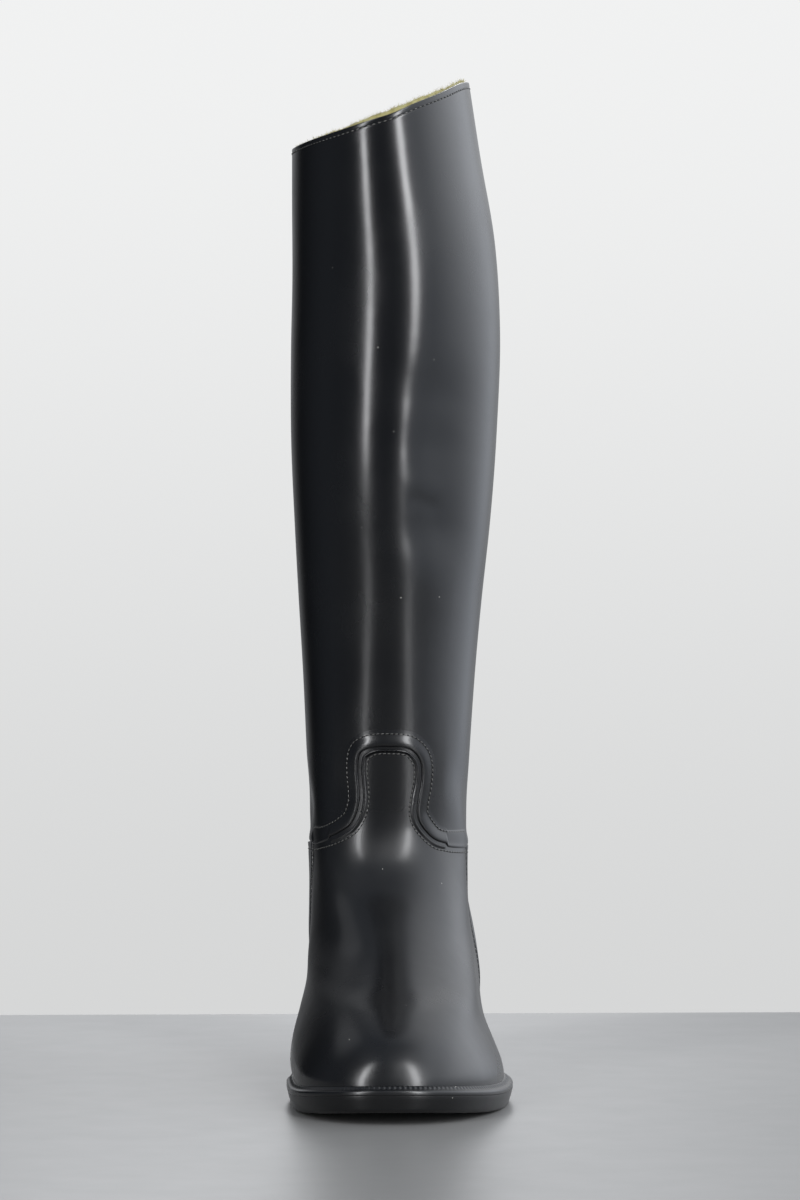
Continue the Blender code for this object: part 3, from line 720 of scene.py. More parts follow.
def place_on_counter(u, v):
    along = counter_along[grid_row(u, counter_along)]
    row = grid_row(v, up_and_back)
    up = up_and_back[row]
    ring, around = counter_place(along, up)
    to_end = np.minimum(along, 1.0 - along) * COUNTER_LENGTH
    to_top = (1.0 - up) * COUNTER_HEIGHT
    to_edge = np.minimum(up * COUNTER_HEIGHT, to_top * EDGE_ROLL / TOP_ROLL)
    groove = COUNTER_GROOVE * bell(to_top - COUNTER_STITCH_DROP, COUNTER_GROOVE_REACH)
    outside = counter_rise(to_end) - groove
    face = np.where(row < len(counter_up), outside, COUNTER_BACK)
    return skin(ring, around, mix(COUNTER_SUNK, face, rolled(to_end) * rolled(to_edge)))


counter_sheet = wrapped_grid(len(counter_along) - 1, len(up_and_back) - 1, place_on_counter)
bmesh.ops.recalc_face_normals(counter_sheet, faces=counter_sheet.faces)
counter = make_piece(counter_sheet, "heel_counter_rubber", "heel_counter")

# %% [markdown]
# ## The sole's outline
# The sole's edge is the feather line moved outwards: a welt's width in front, less at waist and heel.
# Equal steps along that line keep its facets even round the toe.

# %% Outline of the sole
WELT_WIDTH_FORE, SOLE_EDGE_REAR = 3.2, 1.8
WAIST = (0.42, 0.62)
OUTLINE_STEP, OUTLINE_POINTS = 0.0006, 2400


def outline(around, grow):
    """Side and along of the feather line, moved outwards."""
    def flat(values):
        return np.stack(ring_flat(section_at(np.zeros_like(values)), values)[:2], axis=1)
    run = unit(flat(around + OUTLINE_STEP) - flat(around - OUTLINE_STEP))
    here = flat(around)
    grow = np.broadcast_to(grow, around.shape)
    return here[:, 0] + grow * run[:, 1], here[:, 1] - grow * run[:, 0]


def sole_edge(around):
    share = (1.0 - np.cos(2.0 * np.pi * around)) / 2.0
    return mix(WELT_WIDTH_FORE, SOLE_EDGE_REAR, ease(*WAIST, share))


def even_outline(first, last, count):
    """Shares around that cut the sole's edge into equal lengths."""
    fine = np.linspace(first, last, OUTLINE_POINTS)
    shares, length = evenly(np.stack(outline(fine, sole_edge(fine)), axis=1), count)
    return mix(first, last, shares), length


print("length of the sole's edge:", round(even_outline(0.0, 1.0, 2)[1]), "mm")

# %% [markdown]
# ## The welt
# A sloping welt runs round the forepart from waist to waist. Its outer edge is rounded and catches the
# light, and a wheel has pressed a row of teeth into it close to the upper. The teeth are part of the
# mesh: the profile rises and falls with a pulse along the welt.

# %% The toothed welt
WELT_END_AROUND = 0.25
WELT_HEIGHT, WELT_LIP, CREST_RISE = 3.4, 0.7, 0.06
TOOTH_PITCH, TOOTH_HEIGHT, TEETH_FADE = 2.3, 0.42, 0.03
TOOTH_PULSE = np.array([0.0, 0.55, 1.0, 1.0, 0.55, 0.0])
WELT_PROFILE = np.array([  # share from crest to lip, lift, share of the tooth's height
    (-0.14, -0.9, 0.0), (-0.05, -0.25, 0.0), (0.0, -0.05, 0.0), (0.10, 0.02, 0.5), (0.20, 0.0, 1.0),
    (0.34, -0.06, 1.0), (0.46, -0.10, 0.4), (0.58, -0.06, 0.0), (0.72, 0.12, 0.0), (0.84, 0.30, 0.0),
    (0.92, 0.30, 0.0), (0.975, 0.10, 0.0), (1.0, -0.30, 0.0), (1.0, -0.95, 0.0), (1.0, -1.55, 0.0),
    (0.96, -1.6, 0.0), (0.5, -1.3, 0.0), (-0.14, -0.9, 0.0),
])
welt_length = even_outline(-WELT_END_AROUND, WELT_END_AROUND, 2)[1]
welt_teeth = round(welt_length / TOOTH_PITCH)
welt_columns = len(TOOTH_PULSE) * welt_teeth
welt_shares = even_outline(-WELT_END_AROUND, WELT_END_AROUND, welt_columns + 1)[0]


def place_on_welt(u, v):
    column = grid_row(u, welt_shares)
    around = welt_shares[column]
    share, lift, toothed = WELT_PROFILE[grid_row(v, WELT_PROFILE)].T
    foot = last_point(np.zeros_like(around), around)
    crest = skin(ring_at_height(around, foot[:, 2] + WELT_HEIGHT), around, CREST_RISE)
    side, along = outline(around, sole_edge(around))
    lip = np.stack([side, along, sole_top(along) + GAP + WELT_LIP], axis=1)
    points = mix(crest, lip, share[:, None])
    pulse = TOOTH_PULSE[column % len(TOOTH_PULSE)] - 0.5
    points[:, 2] += lift + TOOTH_HEIGHT * toothed * pulse * end_fade(u, TEETH_FADE)
    return points


welt_strip = wrapped_grid(welt_columns, len(WELT_PROFILE) - 1, place_on_welt)
welt = make_piece(close_ends(welt_strip), "welt_rubber", "welt")
print("welt teeth:", welt_teeth)

# %% [markdown]
# ## Outsole, heel and insole
# Each is a plate across the sole's outline. A cross-section goes over the top, round the outer edge,
# along the underside and back up the inner edge. The grid runs from toe to heel, and at the toe and heel
# tips the two edges meet and merge, which closes the plate. Shallow bars in the underside are the tread:
# it can't be seen in use, so they stay plain.

# %% Plates across the outline
PLATE_COLUMNS = 330
TREAD_DEPTH, TREAD_PITCH, TREAD_RUN_OUT = 0.9, 6.0, 8.0
TREAD_MARGIN, MARGIN_BLEND, BAR_FLANK = 0.86, 0.06, (0.25, 0.55)
UNDER_SHARES = np.linspace(0.985, 0.0, 14)
TOP_SHARES = (0.0, 0.5, 0.9)
SHARP_ABOVE = 50.0


def tread(along, share, first, last):
    """How far the bars of the tread cut into the underside."""
    bars = ease(*BAR_FLANK, np.abs(np.mod(along / TREAD_PITCH, 1.0) - 0.5) * 2.0)
    bars = bars * ease(0.0, MARGIN_BLEND, TREAD_MARGIN - abs(share))
    run_out = ease(0.0, TREAD_RUN_OUT, along - first) * ease(0.0, TREAD_RUN_OUT, last - along)
    return TREAD_DEPTH * bars * run_out


def cross_section(top_grow, side, bottom, top, tread_span=None, under_shares=UNDER_SHARES):
    """A closed cross-section between two heights. Rows are (grow, share of half width, height function)."""
    def level(share_up):
        return lambda along, share: mix(bottom(along), top(along), share_up)

    def underside(along, share):
        cut = tread(along, share, *tread_span) if tread_span else 0.0
        return bottom(along) + cut
    outer = [(top_grow, share, level(1.0)) for share in TOP_SHARES]
    outer += [(grow, 1.0, level(share_up)) for grow, share_up in side]
    outer += [(side[-1][0], share, underside) for share in under_shares]
    inner = [(grow, -share, height) for grow, share, height in reversed(outer)]
    return outer + inner[1:]


def plate(turns, section):
    """A closed plate through the cross-sections at the given shares around."""
    def place(u, v):
        around = turns[grid_row(u, turns)]
        row = grid_row(v, section)
        points = np.empty((len(u), 3))
        for number, (grow, share, height) in enumerate(section):
            here = row == number
            edge = sole_edge(around[here]) + grow
            outer, inner = outline(around[here], edge), outline(-around[here], edge)
            middle, half = (outer[0] + inner[0]) / 2.0, (outer[0] - inner[0]) / 2.0
            along = outer[1] if share >= 0 else inner[1]
            points[here] = np.stack([middle + half * share, along, height(along, share)], axis=1)
        return points
    return close_ends(wrapped_grid(len(turns) - 1, len(section) - 1, place))


half_outline = even_outline(0.0, 0.5, PLATE_COLUMNS)[0]
print("cross-sections from toe to heel:", len(half_outline))

# %% The outsole
OUTSOLE_SIDE = [  # grow past the sole's edge, share of the thickness
    (-0.25, 1.0), (-0.05, 0.97), (0.0, 0.90), (-0.35, 0.70), (-0.85, 0.45), (-1.35, 0.24), (-1.65, 0.12),
    (-2.2, 0.035), (-3.0, 0.0),
]
BALL_TREAD = (22.0, 128.0)
outsole_section = cross_section(0.0, OUTSOLE_SIDE, sole_bottom, sole_top, BALL_TREAD)
outsole = make_piece(plate(half_outline, outsole_section), "outsole_rubber", "outsole", SHARP_ABOVE)

# %% The heel block
HEEL_BREAST_ALONG, LEAST_STEP = 207.0, 0.0005
HEEL_SIDE = [  # grow past the sole's edge, share of the height
    (-2.1, 1.0), (-1.85, 0.97), (-1.8, 0.92), (-2.5, 0.60), (-3.3, 0.30), (-3.8, 0.12), (-4.1, 0.04),
    (-4.7, 0.0),
]
HEEL_TREAD = (214.0, 274.0)


def floor_height(along):
    return np.zeros_like(along)


def heel_seat(along):
    return sole_bottom(along) - GAP


heel_section = cross_section(HEEL_SIDE[0][0], HEEL_SIDE, floor_height, heel_seat, HEEL_TREAD)
breast = float(np.interp(HEEL_BREAST_ALONG, outline(half_outline, 0.0)[1], half_outline))
heel_turns = np.concatenate([[breast], half_outline[half_outline > breast + LEAST_STEP]])
heel = make_piece(plate(heel_turns, heel_section), "heel_rubber", "heel", SHARP_ABOVE)

# %% The insole
INSOLE_THICKNESS = 2.5
INSOLE_SIDE = [  # grow past the sole's edge, share of the thickness
    (-7.3, 1.0), (-7.0, 0.9), (-6.9, 0.7), (-6.9, 0.1),
]
INSOLE_UNDER = (0.985, 0.5, 0.0)


def insole_bottom(along):
    return sole_top(along) + GAP


def insole_top(along):
    return insole_bottom(along) + INSOLE_THICKNESS


insole_section = cross_section(INSOLE_SIDE[0][0], INSOLE_SIDE, insole_bottom, insole_top,
                               under_shares=INSOLE_UNDER)
insole = make_piece(plate(half_outline, insole_section), "insole_cloth", "insole", SHARP_ABOVE)

# %% [markdown]
# ## Imitation stitching
# The mould gives this boot rows of small raised stitches. One stitch is a low-poly ball, stretched along
# the row and turned a little across it; a smaller matte black ball between two stitches is painted shade
# for the needle's hole. A particle system could scatter them, but a row needs an exact pitch, so each
# ball gets its own matrix. The rows are joined into one mesh of stitches and one of painted shade marks.

# %% Stitch rows
Stitch = namedtuple("Stitch", "pitch size slant")  # size is length, width and height
SEAM_STITCH = Stitch(2.15, (1.6, 0.62, 0.62), math.radians(11.0))
COLLAR_STITCH = Stitch(2.7, (1.6, 0.75, 0.5), 0.0)
COUNTER_STITCH = Stitch(2.4, (1.6, 0.6, 0.5), 0.0)
# size and sinking of the matte black balls between stitches, which paint the shade of the needle holes
SHADE_MARK_SIZE, SHADE_MARK_SUNK = (0.95, 0.75, 0.4), 0.1
HEM_ROW_AWAY, HEM_ROW_RISE = 5.9, 0.26
TONGUE_ROW_AWAY, TONGUE_ROW_RISE = -4.8, 0.10
ROWS_STOP_BEFORE = 0.006
ROWS_SEARCH = (0.3, 0.55), (0.45, 0.7)  # shares of the seam, on the outer and on the inner side
SEAM_ROW_POINTS, COLLAR_ROW_POINTS = 500, 800


def add_copies(mesh_builder, shape, places):
    """Joins a copy of a small shape to a bmesh at each place, a 4 by 4 matrix."""
    for place in places:
        shape.transform(place)
        mesh_builder.from_mesh(shape)
        shape.transform(place.inverted())


def small_shape(name, create, **sizes):
    """A mesh from one of Blender's own shapes."""
    maker = bmesh.new()
    create(maker, **sizes)
    return new_mesh(name, maker)


stitch_shape = small_shape("stitch", bmesh.ops.create_uvsphere, u_segments=6, v_segments=5, radius=MM)


def stitch_matrix(place, out, run, size, slant):
    """Sets a ball with a radius of one millimetre along a row, lying on the skin."""
    out = Vector(out)
    run = Vector(run)
    run = (run - out * run.dot(out)).normalized()
    run = Matrix.Rotation(slant, 3, out) @ run
    axes = Matrix((run, out.cross(run), out)).transposed()
    scale = Matrix.Diagonal([length / 2.0 for length in size])
    return Matrix.Translation(place) @ (axes @ scale).to_4x4()


def add_stitches(stitch, ring, around, rise):
    """Stretched balls at a pitch along a row on the skin, with matte black marks of painted shade between
    them.
    """
    points, normals = skin(ring, around, rise), directions(ring, around)[2]
    count = max(2, round(evenly(points, 2)[1] / stitch.pitch)) + 1
    shares = evenly(points, 2 * count - 1)[0] * (len(points) - 1)
    index = np.arange(len(points))
    places = np.stack([np.interp(shares, index, axis) for axis in points.T], axis=1)
    outs = unit(np.stack([np.interp(shares, index, axis) for axis in normals.T], axis=1))
    runs = np.gradient(places, axis=0)
    places[1::2] -= outs[1::2] * SHADE_MARK_SUNK
    rows = ((stitches, stitch.size, slice(0, None, 2)), (stitch_shade_marks, SHADE_MARK_SIZE, slice(1, None, 2)))
    for mesh_builder, size, every_other in rows:
        chosen = zip(in_frame(places[every_other]), outs[every_other], runs[every_other])
        matrices = [stitch_matrix(*where, size, stitch.slant) for where in chosen]
        add_copies(mesh_builder, stitch_shape, matrices)
    return count


# one mesh of stitches, and one of matte black marks that paint the shade between them
stitches, stitch_shade_marks = bmesh.new(), bmesh.new()
row_ends = seam_ends(TAB_ENDS[1] - ROWS_STOP_BEFORE, *ROWS_SEARCH)
row_shares = even_seam(*row_ends, SEAM_ROW_POINTS)[0]
hem_row = beside_seam(row_shares, HEM_ROW_AWAY)
tongue_row = beside_seam(row_shares, TONGUE_ROW_AWAY * piping_width(row_shares))
collar_around = np.linspace(0.0, 1.0, COLLAR_ROW_POINTS)
collar_ring = np.full_like(collar_around, float(ring_below_rim(STITCH_DROP)))
stitch_count = add_stitches(SEAM_STITCH, *hem_row, HEM_ROW_RISE)
stitch_count += add_stitches(SEAM_STITCH, *tongue_row, TONGUE_ROW_RISE)
stitch_count += add_stitches(COLLAR_STITCH, collar_ring, collar_around, 0.0)
print("stitches on hem, tongue and collar:", stitch_count)

# %% Stitches of the counter
FRONT_ROW_SPAN, TOP_ROW_SPAN = (0.03, 0.97, 200), (0.02, 0.98, 400)  # first and last share, points
FRONT_ROW_BEFORE, FRONT_ROW_RISE, TOP_ROW_SUNK = 1.3, 0.08, 0.1
share_before = FRONT_ROW_BEFORE / COUNTER_LENGTH
row_up = np.linspace(*FRONT_ROW_SPAN)
for share_along in (-share_before, 1.0 + share_before):
    front_row = counter_place(np.full_like(row_up, share_along), row_up)
    stitch_count += add_stitches(COUNTER_STITCH, *front_row, FRONT_ROW_RISE)
row_along = np.linspace(*TOP_ROW_SPAN)
top_row = counter_place(row_along, np.full_like(row_along, 1.0 - COUNTER_STITCH_DROP / COUNTER_HEIGHT))
top_rise = counter_rise(np.minimum(row_along, 1.0 - row_along) * COUNTER_LENGTH) - TOP_ROW_SUNK
stitch_count += add_stitches(COUNTER_STITCH, *top_row, top_rise)
stitching = make_piece(stitches, "moulded_stitches")
# the matte black marks between the stitches are painted shade
shade_marks = make_piece(stitch_shade_marks, "stitch_shade_marks")
print("stitches in all:", stitch_count)

# %% [markdown]
# ## The frayed edge
# Cut cotton sheds short fibres along its raw edge. Hair particles would need converting for the export,
# so each fibre is a three-sided cone set on the lining's edge with a random lean, from a fixed seed.

# %% Fibres on the raw edge
FIBRES = 3600
FIBRE_LENGTH = (0.5, 2.4)
FIBRE_RADIUS, FIBRE_TIP, FIBRE_LEAN = 0.07, 0.01, 0.8
FIBRE_STAND, FIBRE_WANDER = 0.6, 0.9
FIBRE_SEED = 11
draw = random.Random(FIBRE_SEED)
fibres = bmesh.new()
fibre_around = np.array([draw.random() for _ in range(FIBRES)])
fibre_depth = np.array([draw.uniform(outer_face, inner_face) for _ in range(FIBRES)])
fibre_feet = skin(np.full(FIBRES, COLLAR), fibre_around, -fibre_depth)
fibre_feet[:, 2] += FIBRE_STAND * edge_stand(fibre_around) + FIBRE_WANDER * raw_edge(fibre_around)
fibre_shape = small_shape("fibre", bmesh.ops.create_cone, cap_ends=False, segments=3, depth=MM,
                          radius1=FIBRE_RADIUS * MM, radius2=FIBRE_TIP * MM)
fibre_places = []
for foot in in_frame(fibre_feet):
    length = mix(*FIBRE_LENGTH, draw.random() ** 3)
    lean = Vector((draw.gauss(0.0, FIBRE_LEAN), draw.gauss(0.0, FIBRE_LEAN), 1.0)).normalized()
    turn = lean.to_track_quat("Z", "Y").to_matrix() @ Matrix.Diagonal((1.0, 1.0, length))
    fibre_places.append(Matrix.Translation(Vector(foot) + lean * length * MM / 2.0) @ turn.to_4x4())
add_copies(fibres, fibre_shape, fibre_places)
frayed_edge = make_piece(fibres, "lining_fibres")

# %% [markdown]
# ## Shader arithmetic
# A finish is arithmetic on sockets. A small class wraps a socket, so that plus, minus and times on it
# add Math nodes, and one method adds any other node.

# %% The socket class
class Wire:
    """An output socket. Arithmetic adds Math nodes, and node() adds any other node."""

    def __init__(self, tree, socket=None):
        self.tree = tree
        self.socket = socket

    def node(self, kind, settings=None, inputs=None, output=0):
        made = self.tree.nodes.new(kind)
        for name, value in (settings or {}).items():
            setattr(made, name, value)
        for name, value in (inputs or {}).items():
            self.put(made.inputs[name], value)
        return Wire(self.tree, made.outputs[output])

    def put(self, socket, value):
        if isinstance(value, Wire):
            self.tree.links.new(value.socket, socket)
        else:
            socket.default_value = value

    def maths(self, operation, first, second=0.0):
        return self.node("ShaderNodeMath", {"operation": operation}, {0: first, 1: second})

    def __add__(self, other):
        return self.maths("ADD", self, other)

    def __sub__(self, other):
        return self.maths("SUBTRACT", self, other)

    def __rsub__(self, other):
        return self.maths("SUBTRACT", other, self)

    def __mul__(self, other):
        return self.maths("MULTIPLY", self, other)

    def __lt__(self, other):
        return self.maths("LESS_THAN", self, other)

    __radd__ = __add__
    __rmul__ = __mul__

    def coordinates(self, kind):
        return self.node("ShaderNodeTexCoord", output=kind)

    def axis(self, number):
        return self.node("ShaderNodeSeparateXYZ", inputs={"Vector": self}, output=number)

    def bump(self, height, strength, depth):
        return self.node("ShaderNodeBump", inputs={"Height": height, "Strength": strength, "Distance": depth})

    def noise(self, place, scale, detail=2.0):
        return self.node("ShaderNodeTexNoise", inputs={"Vector": place, "Scale": scale, "Detail": detail})

    def ramp(self, low, high):
        """0 below low, 1 above high, smooth between."""
        return self.node("ShaderNodeMapRange", {"interpolation_type": "SMOOTHSTEP"},
                         {"Value": self, "From Min": low, "From Max": high})

    def blend(self, first, second):
        """A colour between two, by this value."""
        return self.node("ShaderNodeMix", {"data_type": "RGBA"}, {0: self, 6: first, 7: second}, 2)


def new_material(name, **constants):
    """A material, a wire to start from, and a function that feeds its shader's sockets."""
    material = bpy.data.materials.new(name)
    material.use_nodes = True
    shader = material.node_tree.nodes["Principled BSDF"]
    for socket, value in constants.items():
        shader.inputs[socket.replace("_", " ")].default_value = value
    wire = Wire(material.node_tree)
    return material, wire, lambda socket, value: wire.put(shader.inputs[socket], value)


print("shader helpers ready")

# %% [markdown]
# ## Black rubber
# The rubber is nearly black with a soft gloss. Handling leaves smudges, which show only in the gloss, so
# they drive the roughness. The mould leaves a fine grain and a slight unevenness, which are bumps. A few
# specks of pale dust cling to it, and a faint pale tint varies over it. On the stitches that tint is
# thicker: there it is dust and a painted highlight in one.

# %% The rubber finish
RUBBER_BLACK = (0.0018, 0.0019, 0.0023, 1.0)
# the pale of dust, and of the painted highlight that lightens the stitches
PALE_DUST_AND_SHEEN = (0.45, 0.44, 0.40, 1.0)
COAT, COAT_ROUGHNESS = 0.25, 0.16
SMUDGE_SCALE, SMUDGE_RANGE = 22.0, (0.38, 0.68)
WIPED_STRETCH, WIPED_CHANGE = (90.0, 90.0, 9.0), 0.06
FOOT_DULL, FOOT_TOP = 0.04, (0.10, 0.16)
INSTEP_DULL, INSTEP_FOOT, INSTEP_TOP = 0.07, (0.055, 0.075), (0.115, 0.135)
SPECK_CELLS, SPECK_SIZE, SPECK_COVER = 80.0, 0.02, 0.8
FILM_SCALE, FILM_RANGE = 9.0, (0.45, 0.8)
GRAIN_SCALE, UNEVEN_SCALE, UNEVEN_DEPTH = 2400.0, 45.0, 0.00016


def rubber(name, gloss, grain, dust_and_sheen, shine=0.5):
    """gloss is (shiny, dull) roughness, grain a bump's depth in metres, dust_and_sheen a (least, most) share
    of pale: dust, and on the stitches a painted highlight as well.
    """
    material, wire, feed = new_material(name, Coat_Weight=COAT, Coat_Roughness=COAT_ROUGHNESS,
                                        Specular_IOR_Level=shine)
    place = wire.coordinates("Object")
    smudge = wire.noise(place, SMUDGE_SCALE, 5.0).ramp(*SMUDGE_RANGE)
    stretched = wire.node("ShaderNodeMapping", inputs={"Vector": place, "Scale": WIPED_STRETCH})
    wiped = WIPED_CHANGE * (wire.noise(stretched, 1.0) - 0.5)
    height_up = place.axis(2)
    rubbed = FOOT_DULL * (1.0 - height_up.ramp(*FOOT_TOP))
    rubbed = rubbed + INSTEP_DULL * (height_up.ramp(*INSTEP_FOOT) - height_up.ramp(*INSTEP_TOP))
    feed("Roughness", gloss[0] + (gloss[1] - gloss[0]) * smudge + wiped + rubbed)
    speck = wire.node("ShaderNodeTexVoronoi", inputs={"Vector": place, "Scale": SPECK_CELLS}) < SPECK_SIZE
    # a pale tint by noise: dust, and on the stitches a painted highlight as well
    pale_share = dust_and_sheen[0] + (dust_and_sheen[1] - dust_and_sheen[0]) * wire.noise(place, FILM_SCALE, 6.0).ramp(*FILM_RANGE)
    feed("Base Color", (speck * SPECK_COVER + pale_share).blend(RUBBER_BLACK, PALE_DUST_AND_SHEEN))
    height = wire.noise(place, GRAIN_SCALE) * grain + wire.noise(place, UNEVEN_SCALE) * UNEVEN_DEPTH
    feed("Normal", wire.bump(height, 1.0, 1.0))
    return material


upper_finish = rubber("upper_black_rubber", (0.215, 0.285), 0.000003, (0.0, 0.0015))
trim_finish = rubber("trim_black_rubber", (0.215, 0.295), 0.000003, (0.0, 0.002))
# the stitches' thick pale tint is dust and a painted highlight, so they show as pale dashes
stitch_finish = rubber("stitch_black_rubber", (0.22, 0.30), 0.000001, (0.13, 0.20))
# a dull black for the marks between stitches, which paint shade
shade_mark_finish = rubber("painted_shade_black_rubber", (0.80, 0.90), 0.000001, (0.0, 0.001), shine=0.1)
sole_finish = rubber("sole_black_rubber", (0.26, 0.34), 0.000008, (0.0, 0.006), shine=0.4)
finishes = {upper_finish: (upper,), trim_finish: (hem, piping, counter, welt), stitch_finish: (stitching,),
            shade_mark_finish: (shade_marks,), sole_finish: (outsole, heel)}
for finish, pieces in finishes.items():
    for piece in pieces:
        piece.data.materials.append(finish)
print("rubber finishes:", len(finishes))

# %% [markdown]
# ## Yellow cotton
# The lining is a plain weave in yellow-olive cotton. Threads cross over and under, so two sine waves
# along the cloth's own UV map make the weave, and a slow noise makes the yellow uneven.

# %% The cotton finish
COTTON_PALE = (0.46, 0.43, 0.20, 1.0)
COTTON_DEEP = (0.30, 0.25, 0.075, 1.0)
FADED_SCALE, FADED_RANGE, FADED_SHARE, THREAD_SHARE = 260.0, (0.3, 0.7), 0.8, 0.1
WEAVE_STRENGTH, WEAVE_DEPTH = 0.6, 0.0002


def cotton(name, threads_across, threads_along):
    material, wire, feed = new_material(name, Roughness=0.95, Sheen_Weight=0.25)
    place = wire.coordinates("UV")
    where = wire.coordinates("Object")
    across = wire.maths("SINE", place.axis(0) * (2.0 * math.pi * threads_across))
    along = wire.maths("SINE", place.axis(1) * (2.0 * math.pi * threads_along))
    weave = across * along
    uneven = wire.noise(where, FADED_SCALE, 4.0).ramp(*FADED_RANGE)
    feed("Base Color", (uneven * FADED_SHARE + THREAD_SHARE * weave).blend(COTTON_PALE, COTTON_DEEP))
    feed("Normal", wire.bump(weave, WEAVE_STRENGTH, WEAVE_DEPTH))
    return material


weaves = {lining: ("lining_cotton", 320.0, 420.0), insole: ("insole_cotton", 300.0, 120.0),
          frayed_edge: ("fibre_cotton", 1.0, 1.0)}
for piece, weave in weaves.items():
    piece.data.materials.append(cotton(*weave))
print("cotton finishes:", len(weaves))

# %% [markdown]
# ## Floor, light and camera
# The boot stands on a plain grey table. All the light is painted on the world: two tall strips in front
# draw the two long highlights down the shaft, a third lights the back, soft walls light the outer side,
# and a small patch lights the inner side of the toe. Lamps would do too, but a painted strip has soft
# ends and no edges that show up in the rubber. The camera sees a pale wall in place of those lights.

# %% The table
TABLE_BACK, TABLE_FRONT, TABLE_HALF_WIDTH = 0.303, -1.2, 1.5
TABLE_THICKNESS, TABLE_ROUNDING = 0.03, 0.004
TABLE_GREY, TABLE_SHADE = (0.218, 0.217, 0.211, 1.0), (0.204, 0.203, 0.198, 1.0)
TABLE_PATCHES, TABLE_PATCH_RANGE = 3.0, (0.3, 0.7)
TABLE_ROUGHNESS, TABLE_UNEVEN, TABLE_GRAIN = 0.30, 0.08, 40.0
TABLE_SIZE = (2 * TABLE_HALF_WIDTH, TABLE_BACK - TABLE_FRONT, TABLE_THICKNESS)
TABLE_MIDDLE = (0.0, (TABLE_BACK + TABLE_FRONT) / 2.0, -TABLE_THICKNESS / 2.0)
slab = bmesh.new()
bmesh.ops.create_cube(slab, size=1.0)
bmesh.ops.scale(slab, verts=slab.verts, vec=TABLE_SIZE)
bmesh.ops.translate(slab, verts=slab.verts, vec=TABLE_MIDDLE)
bmesh.ops.bevel(slab, geom=slab.edges, offset=TABLE_ROUNDING, offset_type="OFFSET", affect="EDGES",
                segments=3, profile=0.5, material=-1)
table = new_object("table_top", new_mesh("table_top", slab))
table_finish, wire, feed = new_material("table_grey", Specular_IOR_Level=0.35)
table_place = wire.coordinates("Object")
table_patch = wire.noise(table_place, TABLE_PATCHES).ramp(*TABLE_PATCH_RANGE)
feed("Base Color", table_patch.blend(TABLE_GREY, TABLE_SHADE))
feed("Roughness", TABLE_ROUGHNESS + TABLE_UNEVEN * wire.noise(table_place, TABLE_GRAIN))
table.data.materials.append(table_finish)
print("table top at height 0, back edge at", TABLE_BACK, "m")

# %% The world
WALL_TOP, WALL_LOW = (0.88, 0.885, 0.885, 1.0), (0.67, 0.675, 0.675, 1.0)
Strip = namedtuple("Strip", "azimuth half_width low_end past_top radiance")
STRIPS = {
    # azimuth in degrees from the toe towards the outer side; low_end and past_top are its soft ends
    "inner strip": Strip(-42.7, 0.068, (-0.03, 0.06), (0.42, 0.88), 15.5),
    "outer strip": Strip(26.6, 0.089, (-0.02, 0.07), (0.34, 0.84), 14.0),
    "back strip": Strip(180.0, 0.10, (0.15, 0.3), (0.3, 0.7), 2.0),
}
STRIP_SOFT = (0.6, 1.4)
SIDE_TOWARDS, SIDE_POWER, SIDE_RADIANCE = (0.961, 0.276), 2.0, 1.22
SIDE_UP, SIDE_LOW, SIDE_GAIN = (-0.15, 0.4), 0.5, 1.1
BACK_TOWARDS, BACK_SOFT, BACK_RADIANCE = (0.8, 0.5), (-0.05, 0.58), 1.1
BACK_UP, BACK_LOW, BACK_GAIN = (-0.05, 0.5), 0.3, 0.7
FRONT_SOFT, FRONT_RADIANCE = (-1.0, -0.1), 0.14
OVERHEAD_SOFT, OVERHEAD_RADIANCE = (0.7, 0.95), 0.12
RIGHT_SOFT, RIGHT_RADIANCE = (0.3, 0.7), 0.36
STRIP_TINT, WALL_TINT, FILL_TINT = (0.985, 0.993, 1.012), (0.965, 0.985, 1.02), (0.85, 0.95, 1.12)
PATCH_TOWARDS, PATCH_SOFT, PATCH_RADIANCE = (-0.532, 0.447, 0.719), (0.965, 0.995), 0.42
HORIZON = (-0.13, 0.17)
world = bpy.data.worlds.new("pale_room")
bpy.context.scene.world = world
world.use_nodes = True
wire = Wire(world.node_tree)
toward = wire.coordinates("Generated")
rightward, backward, upward = (toward.axis(number) for number in range(3))


def painted_strip(strip):
    """How bright a strip is in each direction: a soft band from the floor up and over the top."""
    angle = math.radians(strip.azimuth)
    out = rightward * math.sin(angle) - backward * math.cos(angle)
    across = wire.maths("ABSOLUTE", rightward * math.cos(angle) + backward * math.sin(angle))
    band = 1.0 - across.ramp(*(strip.half_width * share for share in STRIP_SOFT))
    return band * out.ramp(*strip.past_top) * upward.ramp(*strip.low_end) * strip.radiance


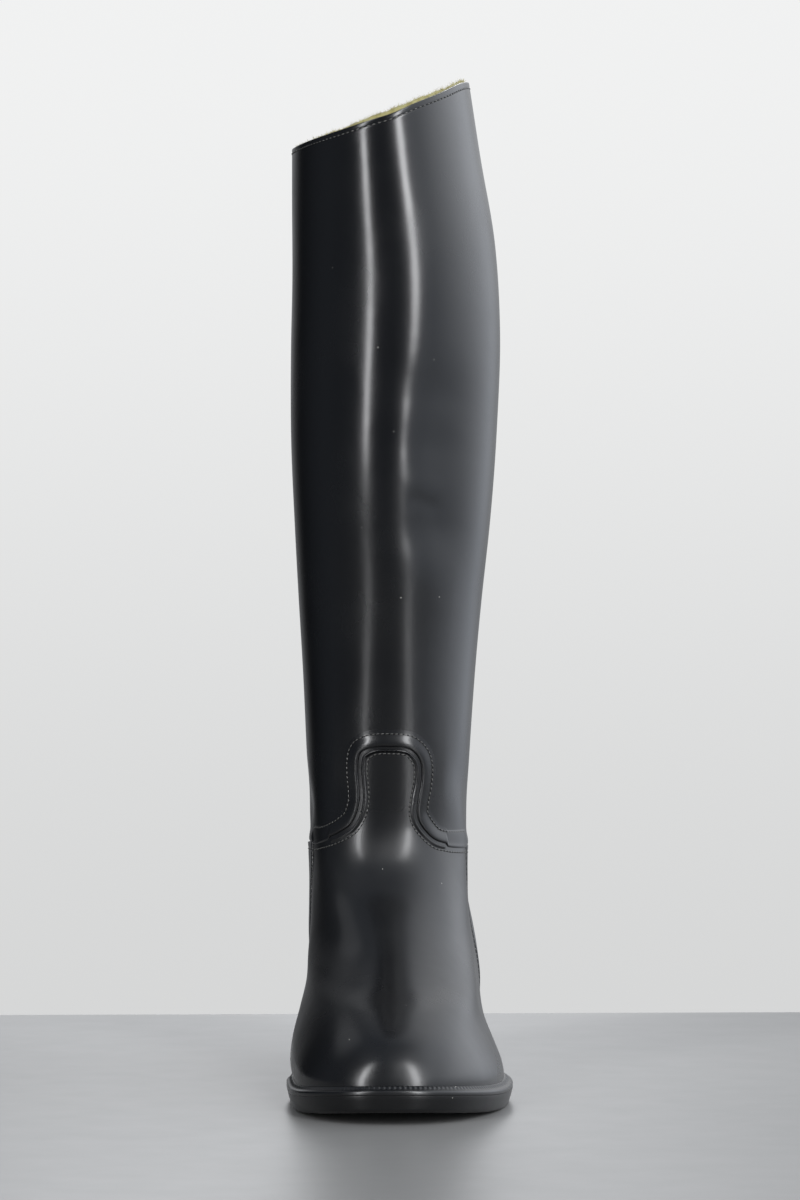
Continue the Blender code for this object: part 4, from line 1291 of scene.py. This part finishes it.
side_wall = wire.maths("MAXIMUM", SIDE_TOWARDS[0] * rightward + SIDE_TOWARDS[1] * backward, 0.0)
side_wall = wire.maths("POWER", side_wall, SIDE_POWER) * SIDE_RADIANCE
side_wall = side_wall * (SIDE_LOW + SIDE_GAIN * upward.ramp(*SIDE_UP))
behind = wire.maths("MAXIMUM", backward, 0.0)
back_wall = (BACK_TOWARDS[0] * rightward + BACK_TOWARDS[1] * behind).ramp(*BACK_SOFT) * BACK_RADIANCE
back_wall = back_wall * (BACK_LOW + BACK_GAIN * upward.ramp(*BACK_UP))
to_patch = PATCH_TOWARDS[0] * rightward + PATCH_TOWARDS[1] * backward + PATCH_TOWARDS[2] * upward
walls = wire.maths("MAXIMUM", side_wall, back_wall) + to_patch.ramp(*PATCH_SOFT) * PATCH_RADIANCE
fill = (0.0 - backward).ramp(*FRONT_SOFT) * FRONT_RADIANCE
fill = fill + upward.ramp(*OVERHEAD_SOFT) * OVERHEAD_RADIANCE + rightward.ramp(*RIGHT_SOFT) * RIGHT_RADIANCE
strips = sum(painted_strip(strip) for strip in STRIPS.values())
room = {channel: STRIP_TINT[channel] * strips + WALL_TINT[channel] * walls + FILL_TINT[channel] * fill
        for channel in range(3)}
to_camera = wire.node("ShaderNodeLightPath", output="Is Camera Ray")
pale_wall = upward.ramp(*HORIZON).blend(WALL_LOW, WALL_TOP)
wire.put(world.node_tree.nodes["Background"].inputs["Color"],
         to_camera.blend(wire.node("ShaderNodeCombineColor", inputs=room), pale_wall))
print("painted strips:", len(STRIPS))

# %% The camera
CAMERA_PLACE = (-0.0554, -1.741, 0.2227)
CAMERA_YAW = math.radians(-1.888)
CAMERA_LENS, SENSOR = 113.73, 36.0
lens = bpy.data.cameras.new("camera")
lens.lens = CAMERA_LENS
lens.sensor_width = SENSOR
camera = new_object("camera", lens)
camera.location = CAMERA_PLACE
camera.rotation_euler = (math.pi / 2.0, 0.0, CAMERA_YAW)
bpy.context.scene.camera = camera
bpy.context.scene.view_settings.view_transform = "Standard"
print("camera at", CAMERA_PLACE)
